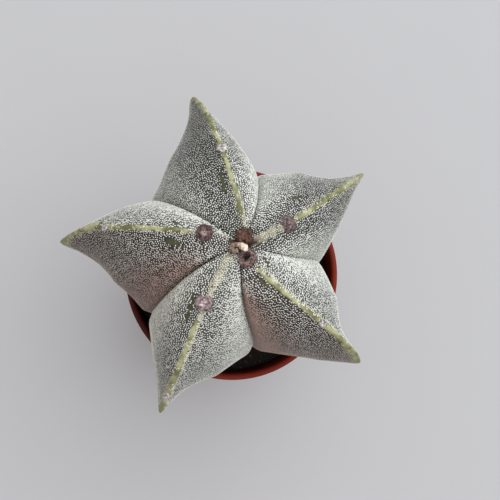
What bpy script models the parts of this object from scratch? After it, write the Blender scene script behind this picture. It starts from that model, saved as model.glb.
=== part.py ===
"""Potted bishop's cap cactus.

A five-ribbed, spineless star cactus grows in gritty soil in a small moulded plastic pot. Each piece is a
named object: the pot, the soil, the plant with the felt pads along its ribs, and the wool in its crown.

Units are metres and +Z is up. The origin is the middle of the pot's flat underside.
"""

import math
import random
from dataclasses import dataclass

import bmesh
import bpy
import numpy as np
from mathutils import Matrix, Vector

OBJECT_NAME = "potted_bishops_cap"
SHARP_ANGLE = math.radians(35.0)

# Gap between two pieces that touch, and between two round walls of unlike facets
FIT_GAP = 0.0003
WALL_GAP = 0.0004

# Pot: a round nursery pot, 55 mm across its lip
POT_HEIGHT = 0.050
POT_LIP_RADIUS = 0.0275
POT_LIP_WIDTH = 0.0016
POT_COLLAR_HEIGHT = 0.0080
POT_COLLAR_STEP = 0.0012
POT_COLLAR_DRAFT = 0.0005
POT_WALL = 0.0009
POT_FLOOR = 0.0014
POT_BASE_RADIUS = 0.0200
POT_BASE_ROUNDING = 0.0012
POT_SIDES = 56
COLLAR_FOOT = POT_HEIGHT - POT_COLLAR_HEIGHT
COLLAR_OUTER = POT_LIP_RADIUS - POT_COLLAR_DRAFT
COLLAR_INNER = COLLAR_OUTER - POT_LIP_WIDTH
WALL_TOP_OUTER = COLLAR_OUTER - POT_COLLAR_STEP

# The inside of the pot's wall from the floor up, as radius and height
POT_INSIDE = (
    (POT_BASE_RADIUS - POT_WALL, POT_FLOOR),
    (WALL_TOP_OUTER - POT_WALL, COLLAR_FOOT - POT_COLLAR_STEP),
    (COLLAR_INNER, COLLAR_FOOT + POT_COLLAR_STEP),
)

# Drain holes: a ring of them, clear of the flat middle of the floor
DRAIN_HOLES = 6
DRAIN_RADIUS = 0.0026
DRAIN_CIRCLE = 0.0125
DRAIN_SIDES = 12

# Soil: filled to 6 mm below the lip, with a gritty top
SOIL_LEVEL = POT_HEIGHT - 0.006
SOIL_GRIT = 0.0008
SOIL_RINGS = 7
SOIL_SEED = 11

# Plant: heights are above the soil, and it stands a little off the pot's middle
PLANT_PLACE = (-0.0019, 0.0011)
PLANT_HEIGHT = 0.052
CROWN_DIMPLE = 0.0020
CROWN_DIMPLE_RADIUS = 0.0032
HOOK_START = 0.8

# Latitudes run from 0 at the crown, through TIP_LATITUDE at the widest, to 1 at the soil
TIP_LATITUDE = 0.56
UPPER_RINGS = 17
LOWER_RINGS = 12

# Faces between a crest and a groove, with 0 on the crest and 1 in the groove
FACE_STEPS = (0.0, 0.06, 0.2, 0.38, 0.56, 0.74, 0.9, 1.0)
FACE_FULLNESS_CROWN = 0.60
FACE_HOLLOW_END = 0.6
FACE_RISE = 1.6
FACE_FALL = 0.9
FACE_DROP = 1.5

# Root neck: round, below the soil
NECK_RADIUS = 0.0050
NECK_DEPTH = 0.0150
NECK_RINGS = 4

# Felt pads (areoles), as lengths down the crests: those that the photograph shows, and even steps below
PADS_SEEN = (0.0022, 0.0036, 0.0082, 0.0112, 0.0145, 0.0225, 0.0256, 0.0311, 0.0367)
PAD_SPACING = 0.0062
PAD_YOUNG_RADIUS = 0.0016
PAD_OLD_RADIUS = 0.0009
PAD_YOUNG_SHARE = 0.15
PAD_OLD_SHARE = 0.30
PAD_HEIGHT_SHARE = 0.65
PAD_SUNK_SHARE = 0.30
PAD_TURN_ORDER = (2, 0, 3, 1, 4)
PAD_SIDES = 12
PAD_BANDS = 5
CREST_SAMPLES = 400

# Crown wool: the tuft in the hollow at the growing point
WOOL_SIZE = (0.0032, 0.0017, 0.0016)
WOOL_PLACE = (-0.0004, -0.0006)
WOOL_LIFT = 0.0006
WOOL_LUMP = 0.10
WOOL_SIDES = 16
WOOL_BANDS = 8


@dataclass(frozen=True)
class Outline:
    """How a line runs down the plant: its widest height, its foot and the powers that round it."""

    widest_at: float
    foot_radius: float
    shoulder: float
    dome: float
    tuck: float


@dataclass(frozen=True)
class Face:
    """How one face leaves the flat at its widest: full by the groove, hollow by the crest, in widths."""

    fullness: float
    hollow: float


@dataclass(frozen=True)
class Rib:
    """One rib: where its crest points and how it bends, the groove on its left, and its two faces."""

    turn: float
    reach: float
    bow: float
    hook: float
    groove_turn: float
    groove_reach: float
    groove_sway: float
    right: Face
    left: Face


CREST = Outline(widest_at=0.024, foot_radius=0.0165, shoulder=0.92, dome=1.22, tuck=1.6)
GROOVE = Outline(widest_at=0.023, foot_radius=0.0132, shoulder=0.95, dome=1.0, tuck=1.1)

# Counter-clockwise from above: the angles are in degrees from +X
RIBS = (
    Rib(-38.1, 0.0396, 0.0023, 0.0, -2.7, 0.0205, 0.0015, Face(0.035, -0.005), Face(-0.020, 0.084)),
    Rib(32.8, 0.0389, 0.0015, 0.0006, 76.1, 0.0202, 0.0011, Face(0.035, 0.010), Face(-0.040, 0.063)),
    Rib(103.4, 0.0409, 0.0014, 0.0005, 146.5, 0.0232, 0.0001, Face(0.095, 0.0), Face(-0.145, 0.045)),
    Rib(171.8, 0.0406, 0.0011, 0.0023, 214.6, 0.0234, 0.0012, Face(0.215, -0.005), Face(-0.230, 0.056)),
    Rib(245.5, 0.0397, 0.0021, 0.0, 284.0, 0.0217, 0.0022, Face(-0.025, 0.015), Face(-0.030, 0.055)),
)


def clear_scene():
    """Removes every object of the scene."""
    for old in list(bpy.data.objects):
        bpy.data.objects.remove(old, do_unlink=True)


def make_collection(name):
    """Makes a collection under the scene's own."""
    collection = bpy.data.collections.new(name)
    bpy.context.scene.collection.children.link(collection)
    return collection


def make_material(name, colour, roughness):
    """Makes a plain material from a linear RGB colour."""
    material = bpy.data.materials.new(name)
    material.use_nodes = True
    shader = material.node_tree.nodes["Principled BSDF"]
    shader.inputs["Base Color"].default_value = (*colour, 1.0)
    shader.inputs["Roughness"].default_value = roughness
    shader.inputs["Metallic"].default_value = 0.0
    return material


def finished_mesh(name, shape):
    """Turns a bmesh into a mesh and frees it."""
    mesh = bpy.data.meshes.new(name)
    shape.to_mesh(mesh)
    shape.free()
    return mesh


def add_mesh(mesh, collection, material=None):
    """Puts a mesh in the scene as an object of the same name."""
    piece = bpy.data.objects.new(mesh.name, mesh)
    collection.objects.link(piece)
    if material is not None:
        mesh.materials.append(material)
        mesh.shade_smooth()
        mesh.set_sharp_from_angle(angle=SHARP_ANGLE)
    return piece


def loft(name, rings, first_pole, last_pole):
    """Skins rings of equal count, and closes both ends on a point."""
    shape = bmesh.new()
    rows = [[shape.verts.new(tuple(point)) for point in ring] for ring in rings]
    start = shape.verts.new(tuple(first_pole))
    end = shape.verts.new(tuple(last_pole))
    count = len(rows[0])
    neighbours = [(here, (here + 1) % count) for here in range(count)]
    for here, after in neighbours:
        shape.faces.new((start, rows[0][here], rows[0][after]))
        shape.faces.new((end, rows[-1][after], rows[-1][here]))
    for above, below in zip(rows, rows[1:]):
        for here, after in neighbours:
            shape.faces.new((above[here], below[here], below[after], above[after]))
    bmesh.ops.triangulate(shape, faces=shape.faces[:])
    return finished_mesh(name, shape)


def smooth_step(low, high, value):
    """Rises from 0 to 1 between two values."""
    share = np.clip((value - low) / (high - low), 0.0, 1.0)
    return share * share * (3.0 - 2.0 * share)


def arc(centre, radius, start, end, count):
    """Points on an arc in the profile's plane, with the angles in degrees."""
    angles = np.radians(np.linspace(start, end, count))
    return [(centre[0] + radius * math.cos(a), centre[1] + radius * math.sin(a)) for a in angles]


def run_down(outline, latitude, reach):
    """Radius and height of a crest or a groove at a latitude."""
    rise = np.clip(latitude / TIP_LATITUDE, 0.0, 1.0) * math.pi / 2.0
    fall = np.clip((latitude - TIP_LATITUDE) / (1.0 - TIP_LATITUDE), 0.0, 1.0)
    tucked = (reach - outline.foot_radius) * np.cos(fall * math.pi / 2.0) ** outline.tuck
    domed = (PLANT_HEIGHT - outline.widest_at) * np.cos(rise) ** outline.dome
    upper = latitude <= TIP_LATITUDE
    radius = np.where(upper, reach * np.sin(rise) ** outline.shoulder, outline.foot_radius + tucked)
    height = np.where(upper, outline.widest_at + domed, outline.widest_at * (1.0 - fall))
    dimple = CROWN_DIMPLE * np.exp(-((radius / CROWN_DIMPLE_RADIUS) ** 2))
    return radius, height - dimple


def turned(radius, side, height, turn):
    """Places a radius and a sideways shift at an angle about the plant's axis."""
    angle = math.radians(turn)
    east = radius * math.cos(angle) - side * math.sin(angle)
    north = radius * math.sin(angle) + side * math.cos(angle)
    return np.stack([east, north, height], axis=-1)


def crest_line(rib, latitude):
    """The sharp edge of a rib, bowed near the crown and hooked at its tip."""
    radius, height = run_down(CREST, latitude, rib.reach)
    share = np.clip(radius / rib.reach, 0.0, 1.0)
    above = rib.hook * smooth_step(HOOK_START, 1.0, share) - rib.bow * np.sin(math.pi * share**0.5)
    side = np.where(latitude <= TIP_LATITUDE, above, rib.hook * share)
    return turned(radius, side, height, rib.turn)


def groove_line(rib, latitude):
    """The bottom of the groove on the left of a rib."""
    radius, height = run_down(GROOVE, latitude, rib.groove_reach)
    side = -rib.groove_sway * np.sin(math.pi * np.clip(radius / rib.groove_reach, 0.0, 1.0))
    return turned(radius, side, height, rib.groove_turn)


def face_points(face, crest, groove, steps, latitude):
    """Points from a crest to a groove at one latitude: full near the crown, as its face says lower down."""
    run = groove[:2] - crest[:2]
    length = np.linalg.norm(run)
    outward = np.array([run[1], -run[0]]) / length
    outward = outward * np.sign(outward @ (groove[:2] + crest[:2]))
    steps = np.asarray(steps)
    low = smooth_step(0.0, TIP_LATITUDE, latitude)
    fullness = FACE_FULLNESS_CROWN * (1.0 - low) + face.fullness * low
    belly = fullness * steps**FACE_RISE * (1.0 - steps) ** FACE_FALL
    hollow = face.hollow * low * np.sin(math.pi * np.clip(steps / FACE_HOLLOW_END, 0.0, 1.0))
    plan = crest[:2] + np.outer(steps, run) + np.outer((belly - hollow) * length, outward)
    height = crest[2] + (groove[2] - crest[2]) * steps**FACE_DROP
    return np.column_stack([plan, height])


def plant_section(latitude):
    """One closed ring round the plant, counter-clockwise from above."""
    latitude = np.float64(latitude)
    points = []
    for number, rib in enumerate(RIBS):
        crest = crest_line(rib, latitude)
        right = groove_line(RIBS[number - 1], latitude)
        left = groove_line(rib, latitude)
        points.extend(face_points(rib.right, crest, right, FACE_STEPS[:0:-1], latitude))
        points.extend(face_points(rib.left, crest, left, FACE_STEPS[:-1], latitude))
    return np.array(points)


def root_sections(clearance=0.0):
    """Rings below the soil, from the foot of the ribs to the round neck, grown by a clearance."""
    foot = plant_section(1.0)
    angles = np.arctan2(foot[:, 1], foot[:, 0])
    neck = np.column_stack([np.cos(angles), np.sin(angles)]) * NECK_RADIUS
    sections = []
    for share in np.linspace(0.0, 1.0, NECK_RINGS + 1):
        blend = smooth_step(0.0, 0.8, share)
        plan = foot[:, :2] * (1.0 - blend) + neck * blend
        radius = np.linalg.norm(plan, axis=1, keepdims=True)
        plan = plan * (radius + clearance) / radius
        depth = np.full(len(plan), -NECK_DEPTH * share)
        sections.append(np.column_stack([plan, depth]))
    return sections


def in_pot(points):
    """Moves points from the plant's own frame to its place in the pot."""
    return np.asarray(points) + np.array([*PLANT_PLACE, SOIL_LEVEL])


def make_pot(collection, cutters, material):
    """Turns the pot from its profile, inside first, and cuts the drain holes."""
    lip_round = POT_LIP_WIDTH / 2.0
    lip_centre = (POT_LIP_RADIUS - lip_round, POT_HEIGHT - lip_round)
    base_centre = (POT_BASE_RADIUS - POT_BASE_ROUNDING, POT_BASE_ROUNDING)
    profile = [
        (0.0, POT_FLOOR),
        *POT_INSIDE,
        *arc(lip_centre, lip_round, 180.0, 0.0, 7),
        (COLLAR_OUTER, COLLAR_FOOT),
        (WALL_TOP_OUTER, COLLAR_FOOT),
        *arc(base_centre, POT_BASE_ROUNDING, 0.0, -90.0, 4),
        (0.0, 0.0),
    ]
    mesh = bpy.data.meshes.new("pot")
    edges = [(here, here + 1) for here in range(len(profile) - 1)]
    mesh.from_pydata([(radius, 0.0, height) for radius, height in profile], edges, [])
    mesh.materials.append(material)
    pot = add_mesh(mesh, collection)
    turn = pot.modifiers.new("turn", "SCREW")
    turn.axis = "Z"
    turn.angle = math.tau
    turn.steps = POT_SIDES
    turn.render_steps = POT_SIDES
    turn.use_merge_vertices = True
    turn.merge_threshold = 0.00001
    turn.use_smooth_shade = True

    for number in range(DRAIN_HOLES):
        add_drain_cutter(number, cutters)
    cut = pot.modifiers.new("drain_holes", "BOOLEAN")
    cut.operation = "DIFFERENCE"
    cut.operand_type = "COLLECTION"
    cut.collection = cutters
    cut.solver = "EXACT"
    return pot


def add_drain_cutter(number, cutters):
    """Stands one round cutter through the pot's floor."""
    angle = math.tau * (number + 0.5) / DRAIN_HOLES
    place = (DRAIN_CIRCLE * math.cos(angle), DRAIN_CIRCLE * math.sin(angle), 0.0)
    shape = bmesh.new()
    bmesh.ops.create_cone(
        shape,
        cap_ends=True,
        segments=DRAIN_SIDES,
        radius1=DRAIN_RADIUS,
        radius2=DRAIN_RADIUS,
        depth=POT_FLOOR * 4.0,
        matrix=Matrix.Translation(place),
    )
    hole = add_mesh(finished_mesh(f"drain_cutter_{number}", shape), cutters)
    hole.hide_render = True
    hole.display_type = "WIRE"


def pot_inner_radius(height):
    """The pot's inside radius at a height."""
    radii, heights = zip(*POT_INSIDE)
    return float(np.interp(height, heights, radii))


def make_soil(collection, material):
    """Fills the pot, with a gritty top and a plain hole for the root."""
    draw = random.Random(SOIL_SEED)
    hole = [in_pot(section) for section in root_sections(clearance=WALL_GAP)]
    hole[-1][:, 2] -= FIT_GAP
    edge = hole[0]
    angles = np.arctan2(edge[:, 1], edge[:, 0])
    around = np.column_stack([np.cos(angles), np.sin(angles)])
    top_radius = pot_inner_radius(SOIL_LEVEL) - WALL_GAP
    top = []
    for number in range(1, SOIL_RINGS + 1):
        share = number / SOIL_RINGS
        plan = edge[:, :2] * (1.0 - share) + around * top_radius * share
        grit = [SOIL_GRIT * draw.random() * (number < SOIL_RINGS) for _ in plan]
        top.append(np.column_stack([plan, SOIL_LEVEL + np.array(grit)]))

    floor = POT_FLOOR + FIT_GAP
    side = []
    for height in (POT_INSIDE[2][1], POT_INSIDE[1][1], floor):
        radius = pot_inner_radius(height) - WALL_GAP
        side.append(np.column_stack([around * radius, np.full(len(around), height)]))
    rings = [*reversed(hole), *top, *side]
    hole_bottom = (*PLANT_PLACE, hole[-1][0, 2])
    return add_mesh(loft("soil", rings, hole_bottom, (0.0, 0.0, floor)), collection, material)


def crest_walk(rib):
    """Points down a rib's crest with the length walked to each, from the crown to the soil."""
    points = crest_line(rib, np.linspace(0.0, 1.0, CREST_SAMPLES))
    steps = np.linalg.norm(np.diff(points, axis=0), axis=1)
    return points, np.concatenate([[0.0], np.cumsum(steps)])


def point_at(points, walked, distance):
    """The point at a length down a walked line."""
    return np.array([np.interp(distance, walked, points[:, axis]) for axis in range(3)])


def pad_distances(longest):
    """Lengths down the crests at which the pads sit, from the newest to the oldest."""
    distances = list(PADS_SEEN)
    while distances[-1] < longest:
        distances.append(distances[-1] + PAD_SPACING)
    return distances


def add_pads(collection):
    """Places the felt pads, each on the second rib round from the last one."""
    walks = [crest_walk(rib) for rib in RIBS]
    longest = max(walked[-1] for _, walked in walks)
    for number, distance in enumerate(pad_distances(longest)):
        points, walked = walks[PAD_TURN_ORDER[number % len(RIBS)]]
        if distance > walked[-1] - PAD_OLD_RADIUS * 3.0:
            continue
        age = smooth_step(PAD_YOUNG_SHARE, PAD_OLD_SHARE, distance / walked[-1])
        radius = float(PAD_YOUNG_RADIUS * (1.0 - age) + PAD_OLD_RADIUS * age)
        here = point_at(points, walked, distance)
        along = Vector(point_at(points, walked, distance + radius) - here).normalized()
        from_axis = Vector((here[0], here[1], 0.0))
        outward = along.cross(from_axis).cross(along).normalized()
        if outward.dot(from_axis + Vector((0.0, 0.0, radius))) < 0.0:
            outward.negate()
        centre = Vector(in_pot(here)) - outward * radius * PAD_SUNK_SHARE
        frame = Matrix.Translation(centre) @ outward.to_track_quat("Z", "Y").to_matrix().to_4x4()
        shape = bmesh.new()
        bmesh.ops.create_uvsphere(
            shape,
            u_segments=PAD_SIDES,
            v_segments=PAD_BANDS,
            radius=radius,
            matrix=frame @ Matrix.Diagonal((1.0, 1.0, PAD_HEIGHT_SHARE, 1.0)),
        )
        add_mesh(finished_mesh(f"pad_{number}", shape), collection)


def join_all(body, collection):
    """Unites a body with all that a collection holds, and removes the collection's objects."""
    union = body.modifiers.new("pads", "BOOLEAN")
    union.operation = "UNION"
    union.operand_type = "COLLECTION"
    union.collection = collection
    union.solver = "EXACT"
    evaluated = body.evaluated_get(bpy.context.evaluated_depsgraph_get())
    joined = bpy.data.meshes.new_from_object(evaluated)
    body.modifiers.remove(union)
    body.data = joined
    joined.shade_smooth()
    joined.set_sharp_from_angle(angle=SHARP_ANGLE)
    for piece in list(collection.objects):
        bpy.data.objects.remove(piece, do_unlink=True)
    bpy.data.collections.remove(collection)


def make_plant(collection, material):
    """Grows the ribbed body from its sections, and joins the felt pads to it."""
    upper = np.linspace(0.0, TIP_LATITUDE, UPPER_RINGS + 1)[1:]
    lower = np.linspace(TIP_LATITUDE, 1.0, LOWER_RINGS + 1)[1:]
    rings = [in_pot(plant_section(latitude)) for latitude in (*upper, *lower)]
    rings += [in_pot(section) for section in root_sections()[1:]]
    crown = in_pot((0.0, 0.0, PLANT_HEIGHT - CROWN_DIMPLE))
    root_end = in_pot((0.0, 0.0, -NECK_DEPTH))
    plant = add_mesh(loft("cactus_body", rings, crown, root_end), collection, material)
    pads = make_collection("pads")
    add_pads(pads)
    join_all(plant, pads)
    return plant


def make_crown_wool(collection, material):
    """Sets the tuft of wool in the hollow of the crown."""
    centre = in_pot((*WOOL_PLACE, PLANT_HEIGHT - CROWN_DIMPLE + WOOL_SIZE[2] / 2.0 + WOOL_LIFT))
    shape = bmesh.new()
    bmesh.ops.create_uvsphere(shape, u_segments=WOOL_SIDES, v_segments=WOOL_BANDS, radius=1.0)
    for vertex in shape.verts:
        lump = 1.0 + WOOL_LUMP * math.sin(5.0 * vertex.co.x + 2.0) * math.cos(6.0 * vertex.co.y)
        for axis in range(3):
            vertex.co[axis] = centre[axis] + vertex.co[axis] * lump * WOOL_SIZE[axis] / 2.0
    return add_mesh(finished_mesh("crown_wool", shape), collection, material)


def main():
    """Makes the four pieces."""
    clear_scene()
    parts = make_collection(OBJECT_NAME)
    cutters = make_collection("cutters")
    plastic = make_material("terracotta_plastic", (0.25, 0.045, 0.022), 0.45)
    grit = make_material("potting_grit", (0.016, 0.010, 0.008), 0.95)
    skin = make_material("flecked_skin", (0.33, 0.36, 0.29), 0.80)
    wool = make_material("crown_felt", (0.55, 0.42, 0.27), 0.95)
    make_pot(parts, cutters, plastic)
    make_soil(parts, grit)
    make_plant(parts, skin)
    make_crown_wool(parts, wool)


main()
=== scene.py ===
"""Looks of a potted bishop's cap cactus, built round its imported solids.

A five-ribbed star cactus with wool-flecked skin and felt pads along its crests stands in gritty soil in a
small moulded nursery pot, photographed from above on a pale card. Units are metres, +Z is up and the
origin is the middle of the pot's flat underside.
"""

import logging
import math
from dataclasses import dataclass
from enum import Enum

import bmesh
import bpy
import numpy as np
from mathutils import Matrix, Vector, noise

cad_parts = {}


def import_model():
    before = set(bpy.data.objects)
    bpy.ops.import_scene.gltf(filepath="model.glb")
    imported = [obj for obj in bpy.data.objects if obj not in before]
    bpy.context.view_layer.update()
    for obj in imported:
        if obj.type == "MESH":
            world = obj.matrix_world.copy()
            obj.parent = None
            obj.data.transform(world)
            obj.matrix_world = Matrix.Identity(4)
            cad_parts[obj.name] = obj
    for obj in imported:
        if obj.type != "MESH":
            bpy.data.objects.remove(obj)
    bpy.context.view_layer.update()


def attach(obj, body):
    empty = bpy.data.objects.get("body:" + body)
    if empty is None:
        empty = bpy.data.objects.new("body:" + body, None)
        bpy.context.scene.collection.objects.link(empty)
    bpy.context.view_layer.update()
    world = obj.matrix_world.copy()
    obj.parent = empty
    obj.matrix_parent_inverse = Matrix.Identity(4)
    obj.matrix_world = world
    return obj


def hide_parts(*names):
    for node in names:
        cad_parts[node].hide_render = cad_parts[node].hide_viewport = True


LOG = logging.getLogger("potted_bishops_cap")
MM = 0.001
BODY = "root"
SHARP_ANGLE = math.radians(35.0)

Array = np.ndarray
Colour = tuple[float, float, float, float]
Finish = bpy.types.Material
Mesh = bpy.types.Mesh
Node = bpy.types.Node
Pair = tuple[float, float]
Piece = bpy.types.Object
Sizes = dict[str, float | int]
Tree = bpy.types.NodeTree
Triple = tuple[float, float, float]


class Slot(Enum):
    """The record's material slots."""

    PLASTIC = "pot_plastic"
    GRIT = "potting_grit"
    SKIN = "flecked_skin"
    FELT = "crown_felt"


class Side(Enum):
    """A face of a rib, seen from above with the crest pointing away."""

    RIGHT = -1
    LEFT = 1


def linear(hex_colour: str) -> Colour:
    """Turns an sRGB hex colour into linear RGBA.

    Args:
        hex_colour: six hex digits after a hash.

    Returns:
        The colour as four linear values.
    """
    values = [int(hex_colour[place : place + 2], 16) / 255.0 for place in (1, 3, 5)]
    return (*(v / 12.92 if v <= 0.04045 else ((v + 0.055) / 1.055) ** 2.4 for v in values), 1.0)


def feed(node: Node, inputs: dict[str | int, object]) -> None:
    """Gives a node's inputs their values and links.

    Args:
        node: the node.
        inputs: what each gets, by its name or number: a value, or the socket or node that feeds it.
    """
    for name, value in inputs.items():
        if isinstance(value, Node):
            value = next(socket for socket in value.outputs if socket.enabled)
        if isinstance(value, bpy.types.NodeSocket):
            node.id_data.links.new(value, node.inputs[name])
        else:
            node.inputs[name].default_value = value


def add_node(
    tree: Tree, kind: str, inputs: dict[str | int, object] | None = None, **settings: object
) -> Node:
    """Adds one node with its settings, input values and links.

    Args:
        tree: the tree that takes the node.
        kind: the node's type.
        inputs: what its inputs get.
        settings: its own properties.

    Returns:
        The new node.
    """
    node = tree.nodes.new(kind)
    for name, value in settings.items():
        setattr(node, name, value)
    feed(node, inputs or {})
    return node


def smooth_step(low: float, high: float, value: Array) -> Array:
    """Rises smoothly from 0 to 1 as a value goes from low to high, or falls if high is the lower.

    Args:
        low: the value that gives 0.
        high: the value that gives 1.
        value: the values.

    Returns:
        The shares, of the values' shape.
    """
    share = np.clip((value - low) / (high - low), 0.0, 1.0)
    return share * share * (3.0 - 2.0 * share)


def toward(azimuth: float, elevation: float) -> Vector:
    """Gives the direction at an azimuth from +X and an elevation, in degrees."""
    flat, spin = math.cos(math.radians(elevation)), math.radians(azimuth)
    return Vector((flat * math.cos(spin), flat * math.sin(spin), math.sin(math.radians(elevation))))


def add_piece(name: str, mesh: Mesh) -> Piece:
    """Puts a mesh in the scene as an object at the origin.

    Args:
        name: the name of the mesh and the object.
        mesh: the mesh.

    Returns:
        The object.
    """
    mesh.name = name
    piece = bpy.data.objects.new(name, mesh)
    bpy.context.scene.collection.objects.link(piece)
    return piece


def store(mesh: Mesh, name: str, values: Array, kind: str = "FLOAT") -> None:
    """Keeps one value, vector or colour for each point of a mesh.

    Args:
        mesh: the mesh.
        name: the attribute's name.
        values: one row for each point.
        kind: FLOAT, FLOAT_VECTOR or FLOAT_COLOR.
    """
    field = {"FLOAT": "value", "FLOAT_VECTOR": "vector", "FLOAT_COLOR": "color"}[kind]
    attribute = mesh.attributes.new(name, kind, "POINT")
    attribute.data.foreach_set(field, np.ascontiguousarray(values, np.float32).ravel())


def start_tree(name: str, sizes: Sizes) -> tuple[Tree, bpy.types.bpy_prop_collection]:
    """Starts a Geometry Nodes tree that takes a mesh and named sizes and gives a mesh back.

    Args:
        name: the tree's name.
        sizes: the default of each named input, a whole number where the input is one.

    Returns:
        The tree and the sockets of what it is given.
    """
    tree = bpy.data.node_groups.new(name, "GeometryNodeTree")
    face = tree.interface
    face.new_socket("Mesh", in_out="INPUT", socket_type="NodeSocketGeometry")
    for label, value in sizes.items():
        kind = "NodeSocketInt" if isinstance(value, int) else "NodeSocketFloat"
        face.new_socket(label, in_out="INPUT", socket_type=kind).default_value = value
    face.new_socket("Mesh", in_out="OUTPUT", socket_type="NodeSocketGeometry")
    return tree, add_node(tree, "NodeGroupInput").outputs


def end_tree(tree: Tree, geometry: Node, material: Finish) -> None:
    """Ends a tree in Realize Instances, Set Material and the group output.

    Args:
        tree: the tree.
        geometry: the node with the finished geometry.
        material: the material that all of it takes.
    """
    real = add_node(tree, "GeometryNodeRealizeInstances", {0: geometry})
    dressed = add_node(tree, "GeometryNodeSetMaterial", {"Geometry": real, "Material": material})
    add_node(tree, "NodeGroupOutput", {0: dressed})


def grow(name: str, base: Piece, tree: Tree, sizes: Sizes) -> Piece:
    """Runs a tree on a base object and keeps its result as a plain piece.

    Args:
        name: the new piece's name.
        base: the object whose mesh the tree reads.
        tree: the Geometry Nodes tree.
        sizes: values for the tree's named inputs.

    Returns:
        The new piece, with no modifier.
    """
    modifier = base.modifiers.new(tree.name, "NODES")
    modifier.node_group = tree
    sockets = {item.name: item.identifier for item in tree.interface.items_tree if item.in_out == "INPUT"}
    for label, value in sizes.items():
        modifier[sockets[label]] = value
    mesh = evaluated_mesh(base)
    base.modifiers.remove(modifier)
    return add_piece(name, mesh)


def evaluated_mesh(piece: Piece) -> Mesh:
    """Gives a plain mesh of an object with its modifiers or its bevel applied."""
    return bpy.data.meshes.new_from_object(piece.evaluated_get(bpy.context.evaluated_depsgraph_get()))


def dress(mesh: Mesh, material: Finish) -> None:
    """Gives a mesh its one material and shades it smooth.

    Args:
        mesh: the mesh.
        material: the material.
    """
    mesh.materials.clear()
    mesh.materials.append(material)
    mesh.shade_smooth()


def finish_piece(piece: Piece, slot: Slot, *nodes: str) -> Piece:
    """Lets a piece ride on the part's body and reports it.

    Args:
        piece: the finished piece.
        slot: the record's slot for its finish; not used.
        nodes: the solids that it stands for.

    Returns:
        The same piece.
    """
    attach(piece, BODY)
    if nodes:
        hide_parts(*nodes)
    piece.data.calc_loop_triangles()
    LOG.info("%s: %d triangles", piece.name, len(piece.data.loop_triangles))
    return piece


def new_material(name: str) -> tuple[Finish, Tree, Node, bpy.types.NodeSocket]:
    """Starts a material.

    Args:
        name: the material's name.

    Returns:
        The material, its node tree, its Principled shader and its Object coordinates.
    """
    material = bpy.data.materials.new(name)
    material.use_nodes = True
    tree = material.node_tree
    place = add_node(tree, "ShaderNodeTexCoord").outputs["Object"]
    return material, tree, tree.nodes["Principled BSDF"], place


def clouded(
    place: bpy.types.NodeSocket, tone: Node | Colour, pattern: Pair, shade: Pair, ends: Pair = (0.0, 1.0)
) -> Node:
    """Lays soft clouds of dark and light over a tone.

    Args:
        place: the Object coordinates.
        tone: the colour, or the node that gives it.
        pattern: the clouds' size and detail.
        shade: what the tone is multiplied by in the darkest and the lightest clouds.
        ends: the noise's values that give the two.

    Returns:
        The clouded tone.
    """
    tree = place.id_data
    inputs = {"Vector": place, "Scale": 1.0 / pattern[0], "Detail": pattern[1]}
    cloud = add_node(tree, "ShaderNodeTexNoise", inputs)
    inputs = {0: cloud, 1: ends[0], 2: ends[1], 3: shade[0], 4: shade[1]}
    share = add_node(tree, "ShaderNodeMapRange", inputs)
    inputs = {0: 1.0, 6: tone, 7: share}
    return add_node(tree, "ShaderNodeMix", inputs, data_type="RGBA", blend_type="MULTIPLY")


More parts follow.
